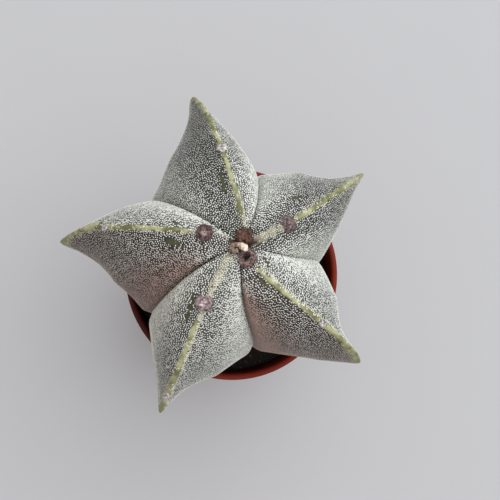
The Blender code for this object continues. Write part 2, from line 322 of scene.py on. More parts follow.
@dataclass(frozen=True)
class MouldedPolypropylene:
    """Injection-moulded polypropylene: satin, faintly uneven, with a slight orange peel from the mould.

    Cloud and peel are a pattern's size and detail, and satin is the least and the most roughness.
    """

    colour: str = "#842b1c"
    worn: str = "#632014"
    # Painted shade for the lip's side under the plant.
    painted_shade: str = "#431711"
    # Painted shade for the wall inside the pot.
    painted_inner_shade: str = "#1c0b07"
    ior: float = 1.49
    shine: float = 0.12
    satin: Pair = (0.49, 0.65)
    cloud: Pair = (9.0 * MM, 4.0)
    peel: Pair = (0.5 * MM, 1.0)
    peel_depth: float = 0.02 * MM
    painted_shade_azimuth: float = 200.0
    painted_shade_reach: Pair = (17.0 * MM, 26.0 * MM)
    painted_inner_shade_radius: Pair = (26.0 * MM, 25.3 * MM)
    painted_inner_shade_height: float = 43.5 * MM

    def material(self) -> Finish:
        """Builds the plastic.

        Returns:
            The material.
        """
        material, tree, shader, place = new_material("moulded_polypropylene")
        cloud, peel = (
            add_node(tree, "ShaderNodeTexNoise", {"Vector": place, "Scale": 1.0 / size, "Detail": detail})
            for size, detail in (self.cloud, self.peel)
        )
        flat = add_node(tree, "ShaderNodeVectorMath", {0: place, 1: (1.0, 1.0, 0.0)}, operation="MULTIPLY")
        # Painted shade: this side of the lip lies in the plant's shadow, so its colour is darkened and
        # browned.
        side = tuple(toward(self.painted_shade_azimuth, 0.0))
        facing = add_node(tree, "ShaderNodeVectorMath", {0: flat, 1: side}, operation="DOT_PRODUCT")
        reach = {0: facing, 1: self.painted_shade_reach[0], 2: self.painted_shade_reach[1]}
        in_painted_shade = add_node(tree, "ShaderNodeMapRange", reach, interpolation_type="SMOOTHSTEP")
        # Painted shade: the wall inside the pot, above the soil, is darkened nearly to black because the
        # plant above shades it.
        radius = add_node(tree, "ShaderNodeVectorMath", {0: flat}, operation="LENGTH")
        height = add_node(tree, "ShaderNodeSeparateXYZ", {0: place}).outputs["Z"]
        reach = {0: radius, 1: self.painted_inner_shade_radius[0], 2: self.painted_inner_shade_radius[1]}
        inside = add_node(tree, "ShaderNodeMapRange", reach)
        above = add_node(tree, "ShaderNodeMath", {0: height, 1: self.painted_inner_shade_height}, operation="GREATER_THAN")
        in_painted_inner_shade = add_node(tree, "ShaderNodeMath", {0: inside, 1: above}, operation="MULTIPLY")
        tone = linear(self.colour)
        # The worn clouds are the plastic's own tone; the other two layers are painted shade.
        for share, colour in ((cloud, self.worn), (in_painted_shade, self.painted_shade), (in_painted_inner_shade, self.painted_inner_shade)):
            tone = add_node(tree, "ShaderNodeMix", {0: share, 6: tone, 7: linear(colour)}, data_type="RGBA")
        # The mould's fine peel breaks the light along the lip into a soft satin line.
        bump = add_node(tree, "ShaderNodeBump", {"Distance": self.peel_depth, "Height": peel})
        gloss = add_node(tree, "ShaderNodeMapRange", {0: cloud, 3: self.satin[0], 4: self.satin[1]})
        feed(shader, {"Base Color": tone, "Roughness": gloss, "Normal": bump})
        feed(shader, {"IOR": self.ior, "Specular IOR Level": self.shine})
        return material


@dataclass(frozen=True)
class PottingGrit:
    """Peat with crushed lava and pumice: dull, porous and nearly black when it is moist."""

    peat: str = "#0d0808"
    crumb: str = "#1f1410"
    pumice: str = "#43382f"
    crumb_size: float = 0.9 * MM
    crumb_detail: float = 3.0
    crumb_roughness: float = 0.7
    pit_depth: float = 0.3 * MM
    lava_share: float = 0.72
    roughness: float = 0.95

    def bed(self) -> Finish:
        """Builds the fine peat between the grains.

        Returns:
            The material.
        """
        material, tree, shader, place = new_material("moist_peat")
        pattern = {"Vector": place, "Scale": 1.0 / self.crumb_size, "Detail": self.crumb_detail}
        crumbs = add_node(tree, "ShaderNodeTexNoise", {**pattern, "Roughness": self.crumb_roughness})
        inputs = {0: crumbs, 6: linear(self.peat), 7: linear(self.crumb)}
        tone = add_node(tree, "ShaderNodeMix", inputs, data_type="RGBA")
        # Pits between the crumbs hold their own shade, so the bed reads as loose and not as a sheet.
        bump = add_node(tree, "ShaderNodeBump", {"Distance": self.pit_depth, "Height": crumbs})
        feed(shader, {"Base Color": tone, "Roughness": self.roughness, "Normal": bump})
        return material

    def grains(self) -> Finish:
        """Builds the loose grains, whose shade is an attribute of each.

        Returns:
            The material.
        """
        material, tree, shader, _ = new_material("lava_and_pumice_grains")
        # A few pale pumice grains among dark lava tell the eye that this is a mineral mix.
        shade = add_node(tree, "ShaderNodeAttribute", attribute_name="grain_shade")
        ramp = add_node(tree, "ShaderNodeValToRGB", {0: shade.outputs["Fac"]})
        ramp.color_ramp.elements[0].color = linear(self.peat)
        ramp.color_ramp.elements[1].color = linear(self.pumice)
        ramp.color_ramp.elements.new(self.lava_share).color = linear(self.crumb)
        feed(shader, {"Base Color": ramp, "Roughness": self.roughness})
        return material


@dataclass(frozen=True)
class CactusEpidermis:
    """Living skin of a star cactus: nearly black green between its flecks, bare and olive along each keel.

    Mottle, ragged and pores are a pattern's size and detail. Real pores are too fine to show, so they are
    drawn coarser. Wander says how far and how softly a layer's edges follow the ragged pattern.
    """

    green: str = "#171b12"
    flush: str = "#221610"
    film_green: str = "#81877c"
    film_flushed: str = "#7b665e"
    bare: str = "#3d3d22"
    cream: str = "#8f8b75"
    keel_dark: str = "#646638"
    keel_light: str = "#a5a67c"
    tip: str = "#7b7d54"
    crown: str = "#3a2419"
    cork: str = "#6f5d46"
    layers: tuple[str, ...] = ("flush", "film", "bare", "cream", "keel", "tip", "crown", "cork")
    mottle: Pair = (3.5 * MM, 4.0)
    ragged: Pair = (1.1 * MM, 3.0)
    pores: Pair = (0.35 * MM, 2.0)
    pore_depth: float = 0.05 * MM
    olive_share: Pair = (0.4, 0.6)
    wander: tuple[tuple[str, Pair], ...] = (
        ("bare", (1.1, 0.22)),
        ("cream", (1.3, 0.22)),
        ("keel", (1.5, 0.38)),
        ("tip", (0.8, 0.3)),
    )
    roughness: float = 0.62

    def material(self) -> Finish:
        """Builds the skin in layers, each where an attribute of the mesh puts it.

        Returns:
            The material.
        """
        material, tree, shader, place = new_material("cactus_epidermis")
        mottle, ragged, pores = (
            add_node(tree, "ShaderNodeTexNoise", {"Vector": place, "Scale": 1.0 / size, "Detail": detail})
            for size, detail in (self.mottle, self.ragged, self.pores)
        )
        ends = {1: self.olive_share[0], 2: self.olive_share[1]}
        olive = add_node(tree, "ShaderNodeMapRange", {0: mottle, **ends})
        fields = {
            name: add_node(tree, "ShaderNodeAttribute", attribute_name=name).outputs["Fac"]
            for name in self.layers
        }
        blends = {
            "film": (fields["flush"], self.film_green, self.film_flushed),
            "keel": (olive, self.keel_dark, self.keel_light),
        }
        # Edges that wander between the pores keep the keel and the patches grown and not painted on.
        wander = dict(self.wander)
        tone = linear(self.green)
        for name in self.layers:
            share = fields[name]
            if name in wander:
                reach, soft = wander[name]
                inputs = {0: ragged, 1: reach, 2: share}
                moved = add_node(tree, "ShaderNodeMath", inputs, operation="MULTIPLY_ADD")
                middle = 0.5 + 0.5 * reach
                inputs = {0: moved, 1: middle - soft, 2: middle + soft}
                share = add_node(tree, "ShaderNodeMapRange", inputs, interpolation_type="SMOOTHSTEP")
            if name in blends:
                mixed, first, second = blends[name]
                inputs = {0: mixed, 6: linear(first), 7: linear(second)}
                colour = add_node(tree, "ShaderNodeMix", inputs, data_type="RGBA")
            else:
                colour = linear(getattr(self, name))
            tone = add_node(tree, "ShaderNodeMix", {0: share, 6: tone, 7: colour}, data_type="RGBA")
        bump = add_node(tree, "ShaderNodeBump", {"Distance": self.pore_depth, "Height": pores})
        feed(shader, {"Base Color": tone, "Roughness": self.roughness, "Normal": bump})
        return material


@dataclass(frozen=True)
class MattedWool:
    """Tiny tufts of matted white hair: chalky and dull, tinted by the skin where the plant is flushed."""

    white: str = "#e0e1d7"
    blush: str = "#ab9488"
    cream: str = "#cdc9ad"
    roughness: float = 1.0
    cloud: Pair = (1.2 * MM, 2.0)
    shade: Pair = (0.66, 1.12)

    def material(self) -> Finish:
        """Builds the wool of the flecks.

        Returns:
            The material.
        """
        material, tree, shader, place = new_material("matted_wool")
        tone = linear(self.white)
        for name in ("blush", "cream"):
            share = add_node(tree, "ShaderNodeAttribute", attribute_name=name).outputs["Fac"]
            inputs = {0: share, 6: tone, 7: linear(getattr(self, name))}
            tone = add_node(tree, "ShaderNodeMix", inputs, data_type="RGBA")
        # Hair scatters light every way: the tufts look chalky, and uneven where they are thin.
        tone = clouded(place, tone, self.cloud, self.shade)
        feed(shader, {"Base Color": tone, "Roughness": self.roughness})
        return material


@dataclass(frozen=True)
class PlantFelt:
    """Felt of short plant hairs: each pad's own colour, matted in clumps that lie light over dark."""

    name: str = "plant_felt"
    clump_size: float = 0.5 * MM
    shade: Pair = (0.3, 1.8)
    clump_detail: float = 3.0
    clump_ends: Pair = (0.36, 0.64)
    roughness: float = 1.0

    def material(self) -> Finish:
        """Builds the felt, coloured by the mesh's felt_colour attribute.

        Returns:
            The material.
        """
        material, tree, shader, place = new_material(self.name)
        colour = add_node(tree, "ShaderNodeAttribute", attribute_name="felt_colour")
        # Clumps of hair with gaps between them give the pads their rough, dry look.
        tone = clouded(place, colour, (self.clump_size, self.clump_detail), self.shade, self.clump_ends)
        feed(shader, {"Base Color": tone, "Roughness": self.roughness})
        return material


@dataclass(frozen=True)
class PaleCard:
    """Matt card under the pot: plain light grey."""

    colour: str = "#b0b1b0"
    roughness: float = 0.7
    cloud: Pair = (33.0 * MM, 2.0)
    shade: Pair = (0.985, 1.015)

    def material(self) -> Finish:
        """Builds the card.

        Returns:
            The material.
        """
        material, _, shader, place = new_material("pale_card")
        # Barely seen clouds keep so large a plain surface from looking like a flat fill.
        tone = clouded(place, linear(self.colour), self.cloud, self.shade)
        feed(shader, {"Base Color": tone, "Roughness": self.roughness})
        return material


@dataclass(frozen=True)
class Outline:
    """How a line runs down the plant: its widest height, its foot and the powers that round it."""

    widest_at: float
    foot_radius: float
    shoulder: float
    dome: float
    tuck: float


@dataclass(frozen=True)
class Crest:
    """A rib's sharp edge: where it points in degrees, how far, and how it bows and hooks sideways.

    Keel_from is how far from the crown its bare keel starts.
    """

    turn: float
    reach: float
    bow: float
    hook: float = 0.0
    keel_from: float = 5.0 * MM


@dataclass(frozen=True)
class Groove:
    """The groove on a rib's left: its angle in degrees, its reach, its sway and the crease's share."""

    turn: float
    reach: float
    sway: float
    crease: float


@dataclass(frozen=True)
class Face:
    """One face of a rib: its fullness and hollow in widths, and how its skin and wool have grown.

    Flush is how brown it is by the groove, wool the flecks' size, film how thickly the finest wool
    veils its flank, cream the pale wool by the crown, edge the pale line beside the keel, and olive
    how much wider the keel's colour gets at the tip.
    """

    fullness: float
    hollow: float
    flush: float = 0.0
    wool: float = 1.0
    film: float = 0.85
    cream: float = 0.4
    edge: float = 0.0
    olive: float = 0.0


@dataclass(frozen=True)
class Rib:
    """One rib: its crest, the groove on its left and its two faces."""

    letter: str
    crest: Crest
    groove: Groove
    right: Face
    left: Face

    def face(self, side: Side) -> Face:
        """Gives the rib's face on one side."""
        return self.right if side is Side.RIGHT else self.left


@dataclass(frozen=True)
class BarePatch:
    """Skin with no flecks: on which face, how far down and across it lies, and its half sizes, in mm."""

    letter: str
    side: Side
    down: float
    across: float
    length: float
    width: float


RIBS = (
    Rib(
        "c",
        Crest(-38.1, 39.6 * MM, 2.3 * MM),
        Groove(-2.7, 20.5 * MM, 1.5 * MM, 0.2),
        Face(0.035, -0.005, flush=1.0, wool=0.99, film=0.95, cream=0.0, olive=1.0 * MM),
        Face(-0.020, 0.084, wool=1.2, edge=0.7),
    ),
    Rib(
        "b",
        Crest(32.8, 38.9 * MM, 1.5 * MM, 0.6 * MM, keel_from=12.0 * MM),
        Groove(76.1, 20.2 * MM, 1.1 * MM, 0.5),
        Face(0.035, 0.010, cream=0.62, edge=0.5, olive=0.5 * MM),
        Face(-0.040, 0.063, wool=0.97, cream=0.62, edge=0.5, olive=0.5 * MM),
    ),
    Rib(
        "a",
        Crest(103.4, 40.9 * MM, 1.4 * MM, 0.5 * MM),
        Groove(146.5, 23.2 * MM, 0.1 * MM, 0.5),
        Face(0.095, 0.0, wool=1.2, cream=0.8, edge=0.3),
        Face(-0.145, 0.045, wool=0.85, film=0.38, cream=0.2),
    ),
    Rib(
        "e",
        Crest(171.8, 40.6 * MM, 1.1 * MM, 2.3 * MM, keel_from=10.0 * MM),
        Groove(214.6, 23.4 * MM, 1.2 * MM, 1.0),
        Face(0.215, -0.005, wool=1.3, olive=3.0 * MM),
        Face(-0.230, 0.056, flush=1.0, wool=0.98, film=0.25, cream=0.0, edge=0.4),
    ),
    Rib(
        "d",
        Crest(245.5, 39.7 * MM, 2.1 * MM, keel_from=17.0 * MM),
        Groove(284.0, 21.7 * MM, 2.2 * MM, 1.0),
        Face(-0.025, 0.015, flush=0.15, wool=1.1, cream=0.6, olive=0.5 * MM),
        Face(-0.030, 0.055, wool=1.15, cream=0.6, edge=0.8),
    ),
)

BARE_PATCHES = (
    BarePatch("e", Side.LEFT, 17.6, 3.9, 1.9, 1.1),
    BarePatch("e", Side.RIGHT, 18.0, 2.9, 1.1, 0.7),
    BarePatch("e", Side.RIGHT, 15.0, 0.5, 2.0, 0.6),
    BarePatch("a", Side.LEFT, 16.8, 2.9, 2.6, 0.7),
    BarePatch("b", Side.RIGHT, 4.4, 1.0, 1.8, 0.9),
    BarePatch("b", Side.LEFT, 4.2, 0.6, 1.4, 0.8),
    BarePatch("b", Side.LEFT, 21.4, 5.6, 1.2, 0.9),
    BarePatch("b", Side.LEFT, 30.0, 1.6, 1.6, 0.7),
    BarePatch("d", Side.RIGHT, 20.8, 4.1, 2.4, 0.8),
    BarePatch("c", Side.RIGHT, 11.5, 2.4, 1.5, 0.7),
    BarePatch("c", Side.RIGHT, 14.5, 0.6, 3.0, 0.8),
    BarePatch("c", Side.LEFT, 9.0, 3.2, 1.2, 0.7),
)


@dataclass
class CactusForm:
    """The plant's shape, in its own frame with Z up from the soil, by the same rules as the solids."""

    place: Pair = (-1.9 * MM, 1.1 * MM)
    soil_level: float = 44.0 * MM
    height: float = 52.0 * MM
    core_height: float = 20.0 * MM
    dimple: float = 2.0 * MM
    dimple_radius: float = 3.2 * MM
    hook_start: float = 0.8
    tip_latitude: float = 0.56
    fullness_crown: float = 0.60
    hollow_end: float = 0.6
    rise: float = 1.6
    fall: float = 0.9
    drop: float = 1.5
    neck_radius: float = 5.0 * MM
    neck_depth: float = 15.0 * MM
    crest: Outline = Outline(24.0 * MM, 16.5 * MM, 0.92, 1.22, 1.6)
    groove: Outline = Outline(23.0 * MM, 13.2 * MM, 0.95, 1.0, 1.1)
    ribs: tuple[Rib, ...] = RIBS

    def run_down(self, line: Outline, latitude: Array, reach: float) -> tuple[Array, Array]:
        """Gives the radius and height of a crest or a groove.

        Args:
            line: the outline that it follows.
            latitude: 0 at the crown, tip_latitude at the widest and 1 at the soil.
            reach: its widest radius.

        Returns:
            The radii and the heights.
        """
        rise = np.clip(latitude / self.tip_latitude, 0.0, 1.0) * math.pi / 2.0
        fall = np.clip((latitude - self.tip_latitude) / (1.0 - self.tip_latitude), 0.0, 1.0)
        tucked = (reach - line.foot_radius) * np.cos(fall * math.pi / 2.0) ** line.tuck
        domed = (self.height - line.widest_at) * np.cos(rise) ** line.dome
        upper = latitude <= self.tip_latitude
        radius = np.where(upper, reach * np.sin(rise) ** line.shoulder, line.foot_radius + tucked)
        height = np.where(upper, line.widest_at + domed, line.widest_at * (1.0 - fall))
        return radius, height - self.dimple * np.exp(-((radius / self.dimple_radius) ** 2))

    def turned(self, radius: Array, side: Array, height: Array, turn: float) -> Array:
        """Places radii and sideways shifts at an angle about the plant's axis.

        Args:
            radius: distances from the axis.
            side: shifts to the left of that direction.
            height: heights.
            turn: the angle in degrees.

        Returns:
            The points.
        """
        angle = math.radians(turn)
        east = radius * math.cos(angle) - side * math.sin(angle)
        north = radius * math.sin(angle) + side * math.cos(angle)
        return np.stack([east, north, height], axis=-1)

    def crest_line(self, rib: Rib, latitude: Array) -> Array:
        """Gives the sharp edge of a rib, bowed near the crown and hooked at its tip.

        Args:
            rib: the rib.
            latitude: where the points lie.

        Returns:
            The points.
        """
        crest = rib.crest
        radius, height = self.run_down(self.crest, latitude, crest.reach)
        share = np.clip(radius / crest.reach, 0.0, 1.0)
        hooked = crest.hook * smooth_step(self.hook_start, 1.0, share)
        above = hooked - crest.bow * np.sin(math.pi * share**0.5)
        side = np.where(latitude <= self.tip_latitude, above, crest.hook * share)
        return self.turned(radius, side, height, crest.turn)

    def groove_line(self, rib: Rib, latitude: Array) -> Array:
        """Gives the bottom of the groove on the left of a rib.

        Args:
            rib: the rib.
            latitude: where the points lie.

        Returns:
            The points.
        """
        groove = rib.groove
        radius, height = self.run_down(self.groove, latitude, groove.reach)
        side = -groove.sway * np.sin(math.pi * np.clip(radius / groove.reach, 0.0, 1.0))
        return self.turned(radius, side, height, groove.turn)

    def face(self, number: int, side: Side, steps: Array, latitude: Array) -> Array:
        """Gives a rib's face as rows of points from its crest to a groove, one row for each latitude.

        Args:
            number: the rib's place in ribs.
            side: the face on its right or its left.
            steps: 0 on the crest to 1 in the groove.
            latitude: the rows' latitudes.

        Returns:
            Points, by row and then by step.
        """
        face = self.ribs[number].face(side)
        crest = self.crest_line(self.ribs[number], latitude)
        groove = self.groove_line(self.ribs[number - (side is Side.RIGHT)], latitude)
        run = groove[:, :2] - crest[:, :2]
        length = np.linalg.norm(run, axis=1, keepdims=True)
        outward = np.stack([run[:, 1], -run[:, 0]], axis=1) / length
        outward = outward * np.sign(np.sum(outward * (groove[:, :2] + crest[:, :2]), axis=1, keepdims=True))
        low = smooth_step(0.0, self.tip_latitude, latitude)[:, None]
        fullness = self.fullness_crown * (1.0 - low) + face.fullness * low
        belly = fullness * steps**self.rise * (1.0 - steps) ** self.fall
        hollow = face.hollow * low * np.sin(math.pi * np.clip(steps / self.hollow_end, 0.0, 1.0))
        swell = ((belly - hollow) * length)[:, :, None] * outward[:, None, :]
        plan = crest[:, None, :2] + steps[None, :, None] * run[:, None, :] + swell
        height = crest[:, None, 2] + (groove[:, None, 2] - crest[:, None, 2]) * steps**self.drop
        return np.concatenate([plan, height[:, :, None]], axis=2)

    def crest_walk(self, rib: Rib, count: int = 400) -> tuple[Array, Array]:
        """Walks down a crest.

        Args:
            rib: the rib.
            count: how many points the walk has.

        Returns:
            The points and the length walked to each.
        """
        points = self.crest_line(rib, np.linspace(0.0, 1.0, count))
        steps = np.linalg.norm(np.diff(points, axis=0), axis=1)
        return points, np.concatenate([[0.0], np.cumsum(steps)])

    def in_pot(self, points: Array) -> Array:
        """Moves points from the plant's own frame to its place in the pot."""
        return np.asarray(points) + np.array([*self.place, self.soil_level])


def skin_rings(name: str, rings: list[Array], first_pole: Triple, last_pole: Triple) -> Mesh:
    """Skins rings of equal count and closes both ends on a point.

    Args:
        name: the mesh's name.
        rings: rings of points, counter-clockwise from above, from the first pole to the last.
        first_pole: the point that closes the first ring.
        last_pole: the point that closes the last ring.

    Returns:
        The mesh, with the first pole as its first point and the last pole as its last.
    """
    count = len(rings[0])
    points = np.vstack([np.array([first_pole]), *rings, np.array([last_pole])])
    here = np.arange(count)
    after = (here + 1) % count
    last = len(points) - 1
    low = last - count
    faces = [(0, 1 + int(a), 1 + int(b)) for a, b in zip(here, after)]
    for above in range(1, low, count):
        below = above + count
        quads = np.column_stack([above + here, below + here, below + after, above + after])
        faces.extend(map(tuple, quads.tolist()))
    faces.extend((last, low + int(b), low + int(a)) for a, b in zip(here, after))
    mesh = bpy.data.meshes.new(name)
    mesh.from_pydata(points.tolist(), [], faces)
    return mesh


@dataclass
class NurseryPot:
    """Round moulded nursery pot, turned from its profile, with a collar, a thin lip and drain holes."""

    height: float = 50.0 * MM
    lip_radius: float = 27.5 * MM
    lip_width: float = 1.6 * MM
    collar_height: float = 8.0 * MM
    collar_step: float = 1.2 * MM
    collar_draft: float = 0.5 * MM
    wall: float = 0.9 * MM
    floor: float = 1.4 * MM
    base_radius: float = 20.0 * MM
    base_rounding: float = 1.2 * MM
    fillet: float = 0.35 * MM
    holes: int = 6
    hole_radius: float = 2.6 * MM
    hole_circle: float = 12.5 * MM
    hole_sides: int = 32
    sides: int = 144

    def inside(self) -> tuple[Pair, ...]:
        """Gives the inside of the wall from the floor up.

        Returns:
            Radii and heights.
        """
        collar_foot = self.height - self.collar_height
        collar_outer = self.lip_radius - self.collar_draft
        return (
            (self.base_radius - self.wall, self.floor),
            (collar_outer - self.collar_step - self.wall, collar_foot - self.collar_step),
            (collar_outer - self.lip_width, collar_foot + self.collar_step),
        )

    def profile(self) -> list[Pair]:
        """Gives the turned profile, up the inside from the floor and down the outside to the base.

        Returns:
            Radii and heights.
        """
        lip = self.lip_width / 2.0
        collar_foot = self.height - self.collar_height
        collar_outer = self.lip_radius - self.collar_draft
        soft, base = self.fillet, self.base_rounding
        return [
            *self.inside(),
            *self.arc((self.lip_radius - lip, self.height - lip), lip, (180.0, 0.0), 13),
            *self.arc((collar_outer - soft, collar_foot + soft), soft, (0.0, -90.0), 4),
            (collar_outer - self.collar_step, collar_foot),
            *self.arc((self.base_radius - base, base), base, (0.0, -90.0), 7),
        ]

    def arc(self, centre: Pair, radius: float, ends: Pair, count: int) -> list[Pair]:
        """Gives points on an arc of the profile.

        Args:
            centre: its centre, as radius and height.
            radius: its own radius.
            ends: its first and last angle in degrees.
            count: how many points it has.

        Returns:
            Radii and heights.
        """
        angles = np.radians(np.linspace(*ends, count))
        return [(centre[0] + radius * math.cos(a), centre[1] + radius * math.sin(a)) for a in angles]

    def drills(self) -> Piece:
        """Makes the cutters of the drain holes.

        Returns:
            One object with a cylinder for each hole.
        """
        shape = bmesh.new()
        for number in range(self.holes):
            angle = (number + 0.5) * math.tau / self.holes
            spot = Vector((math.cos(angle), math.sin(angle), 0.0)) * self.hole_circle
            bmesh.ops.create_cone(
                shape,
                cap_ends=True,
                segments=self.hole_sides,
                radius1=self.hole_radius,
                radius2=self.hole_radius,
                depth=self.floor * 4.0,
                matrix=Matrix.Translation(spot),
            )
        mesh = bpy.data.meshes.new("drain_drills")
        shape.to_mesh(mesh)
        shape.free()
        return add_piece("drain_drills", mesh)

    def build(self) -> Piece:
        """Turns the pot, drills it and dresses it.

        Returns:
            The pot.
        """
        angles = np.linspace(0.0, math.tau, self.sides, endpoint=False)
        around = np.column_stack([np.cos(angles), np.sin(angles)])
        rings = [
            np.column_stack([around * radius, np.full(self.sides, high)]) for radius, high in self.profile()
        ]
        solid = skin_rings("pot_shell", rings, (0.0, 0.0, self.floor), (0.0, 0.0, 0.0))
        shell, drills = add_piece("pot_shell", solid), self.drills()
        shell.modifiers.new("drain_holes", "BOOLEAN").object = drills
        mesh = evaluated_mesh(shell)
        for helper in (shell, drills):
            bpy.data.objects.remove(helper, do_unlink=True)
        dress(mesh, MouldedPolypropylene().material())
        mesh.set_sharp_from_angle(angle=SHARP_ANGLE)
        return finish_piece(add_piece("nursery_pot", mesh), Slot.PLASTIC, "pot")


@dataclass
class SoilBed:
    """Moist gritty soil: a rough bed with a plain hole for the root, and loose grains on its top."""

    pot: NurseryPot
    form: CactusForm
    grit: float = 0.8 * MM
    wall_gap: float = 0.4 * MM
    fit_gap: float = 0.3 * MM
    rings: int = 18
    lump_size: float = 2.4 * MM
    grain_size: float = 0.75 * MM
    grain_spacing: float = 1.15 * MM
    least_stretch: Triple = (0.35, 0.3, 0.25)
    most_stretch: Triple = (0.95, 0.8, 0.6)
    crowding: float = 8.0
    seed: int = 11

    def inner_radius(self, height: float) -> float:
        """Gives the soil's radius against the pot at a height."""
        radii, heights = zip(*self.pot.inside())
        return float(np.interp(height, heights, radii)) - self.wall_gap

    def build(self, root: list[Array]) -> list[Piece]:
        """Makes the bed and its grains.

        Args:
            root: the plant's sections from the soil line down, in the pot's frame.

        Returns:
            The two pieces.
        """
        bed = self.bed(root)
        grains = self.grains(bed)
        return [finish_piece(bed, Slot.GRIT, "soil"), finish_piece(grains, Slot.GRIT)]

    def bed(self, root: list[Array]) -> Piece:
        """Skins the bed from the root's hole, over its rough top and down the pot's wall.

        Args:
            root: the plant's sections from the soil line down.

        Returns:
            The bed.
        """
        axis, level = np.array(self.form.place), self.form.soil_level
        hole = []
        for section in root:
            away = section[:, :2] - axis
            reach = np.linalg.norm(away, axis=1, keepdims=True)
            plan = axis + away * (reach + self.wall_gap) / reach
            hole.append(np.column_stack([plan, section[:, 2]]))
        hole[-1][:, 2] -= self.fit_gap
        edge = hole[0]
        angle = np.arctan2(edge[:, 1], edge[:, 0])
        around = np.column_stack([np.cos(angle), np.sin(angle)])
        top = []
        for number in range(1, self.rings + 1):
            share = number / self.rings
            plan = edge[:, :2] * (1.0 - share) + around * self.inner_radius(level) * share
            inner = math.sin(math.pi * min(share, 0.5)) * (number < self.rings)
            rough = [0.5 + 0.5 * noise.noise(Vector((x, y, 0.0)) / self.lump_size) for x, y in plan]
            top.append(np.column_stack([plan, level + self.grit * inner * np.array(rough)]))
        floor = self.pot.floor + self.fit_gap
        side = [
            np.column_stack([around * self.inner_radius(height), np.full(len(around), height)])
            for height in (self.pot.inside()[2][1], self.pot.inside()[1][1], floor)
        ]
        rings = [*reversed(hole), *top, *side]
        mesh = skin_rings("soil_bed", rings, (*axis, hole[-1][0, 2]), (0.0, 0.0, floor))
        on_top = np.zeros(len(mesh.vertices))
        first = 1 + len(hole) * len(edge)
        on_top[first : first + (len(top) - 1) * len(edge)] = 1.0
        store(mesh, "on_top", on_top)
        dress(mesh, PottingGrit().bed())
        return add_piece("soil_bed", mesh)

    def grains(self, bed: Piece) -> Piece:
        """Scatters the loose grains over the top of the bed.

        Args:
            bed: the bed.

        Returns:
            The grains.
        """
        sizes = {"Spacing": self.grain_spacing, "Grain Size": self.grain_size, "Seed": self.seed}
        tree, given = start_tree("grain_scatter", sizes)
        where = add_node(tree, "GeometryNodeInputNamedAttribute", {"Name": "on_top"}, data_type="FLOAT")
        inputs = {
            "Mesh": given["Mesh"],
            "Distance Min": given["Spacing"],
            "Density Max": self.crowding / self.grain_spacing**2,
            "Density Factor": where,
            "Seed": given["Seed"],
        }
        spots = add_node(tree, "GeometryNodeDistributePointsOnFaces", inputs, distribute_method="POISSON")
        inputs = {"Radius": given["Grain Size"], "Subdivisions": 1}
        grain = add_node(tree, "GeometryNodeMeshIcoSphere", inputs)
        spans = ((self.least_stretch, self.most_stretch), ((0.0,) * 3, (math.tau,) * 3))
        stretch, turn = (
            add_node(
                tree, "FunctionNodeRandomValue", {0: low, 1: high, "Seed": seed}, data_type="FLOAT_VECTOR"
            )
            for seed, (low, high) in enumerate(spans, 1)
        )
        inputs = {"Points": spots, "Instance": grain, "Rotation": turn, "Scale": stretch}
        placed = add_node(tree, "GeometryNodeInstanceOnPoints", inputs)
        shade = add_node(tree, "FunctionNodeRandomValue", {"Seed": 3}, data_type="FLOAT")
        inputs = {"Geometry": placed, "Name": "grain_shade", "Value": shade}
        settings = {"data_type": "FLOAT", "domain": "INSTANCE"}
        shaded = add_node(tree, "GeometryNodeStoreNamedAttribute", inputs, **settings)
        end_tree(tree, shaded, PottingGrit().grains())
        return grow("soil_grains", bed, tree, sizes)


@dataclass(frozen=True)
class PadLook:
    """A felt pad at one age: its middle, ring and edge colours, its height, its hollow and its spread."""

    middle: str
    ring: str
    edge: str
    height: float
    hollow: float = 0.0
    spread: float = 1.0


class PadStage(Enum):
    """The ages of a felt pad, from the newest in the crown to the grown ones."""

    RUST = PadLook("#62443a", "#5e4338", "#2e1d19", 0.4, 0.0, 1.02)
    # The hollow pad's near-black middle is painted shade in its hollow.
    HOLLOW = PadLook("#050202", "#7a6560", "#44342f", 0.6, 0.5, 1.12)
    BROWN = PadLook("#9b8780", "#584743", "#2b1d19", 0.5, 0.12, 1.02)
    PLUM = PadLook("#7c6c69", "#6d5d5b", "#43332f", 0.48)
    MAUVE = PadLook("#b8a5a4", "#8a7b79", "#665753", 0.48, 0.0, 1.05)
    PALE = PadLook("#a9a3a1", "#aca7a2", "#9b958a", 0.28)


@dataclass(frozen=True)
class Pad:
    """One felt pad: where it sits, which way it faces, its radius and its look."""

    number: int
    centre: Vector
    outward: Vector
    along: Vector
    radius: float
    look: PadLook


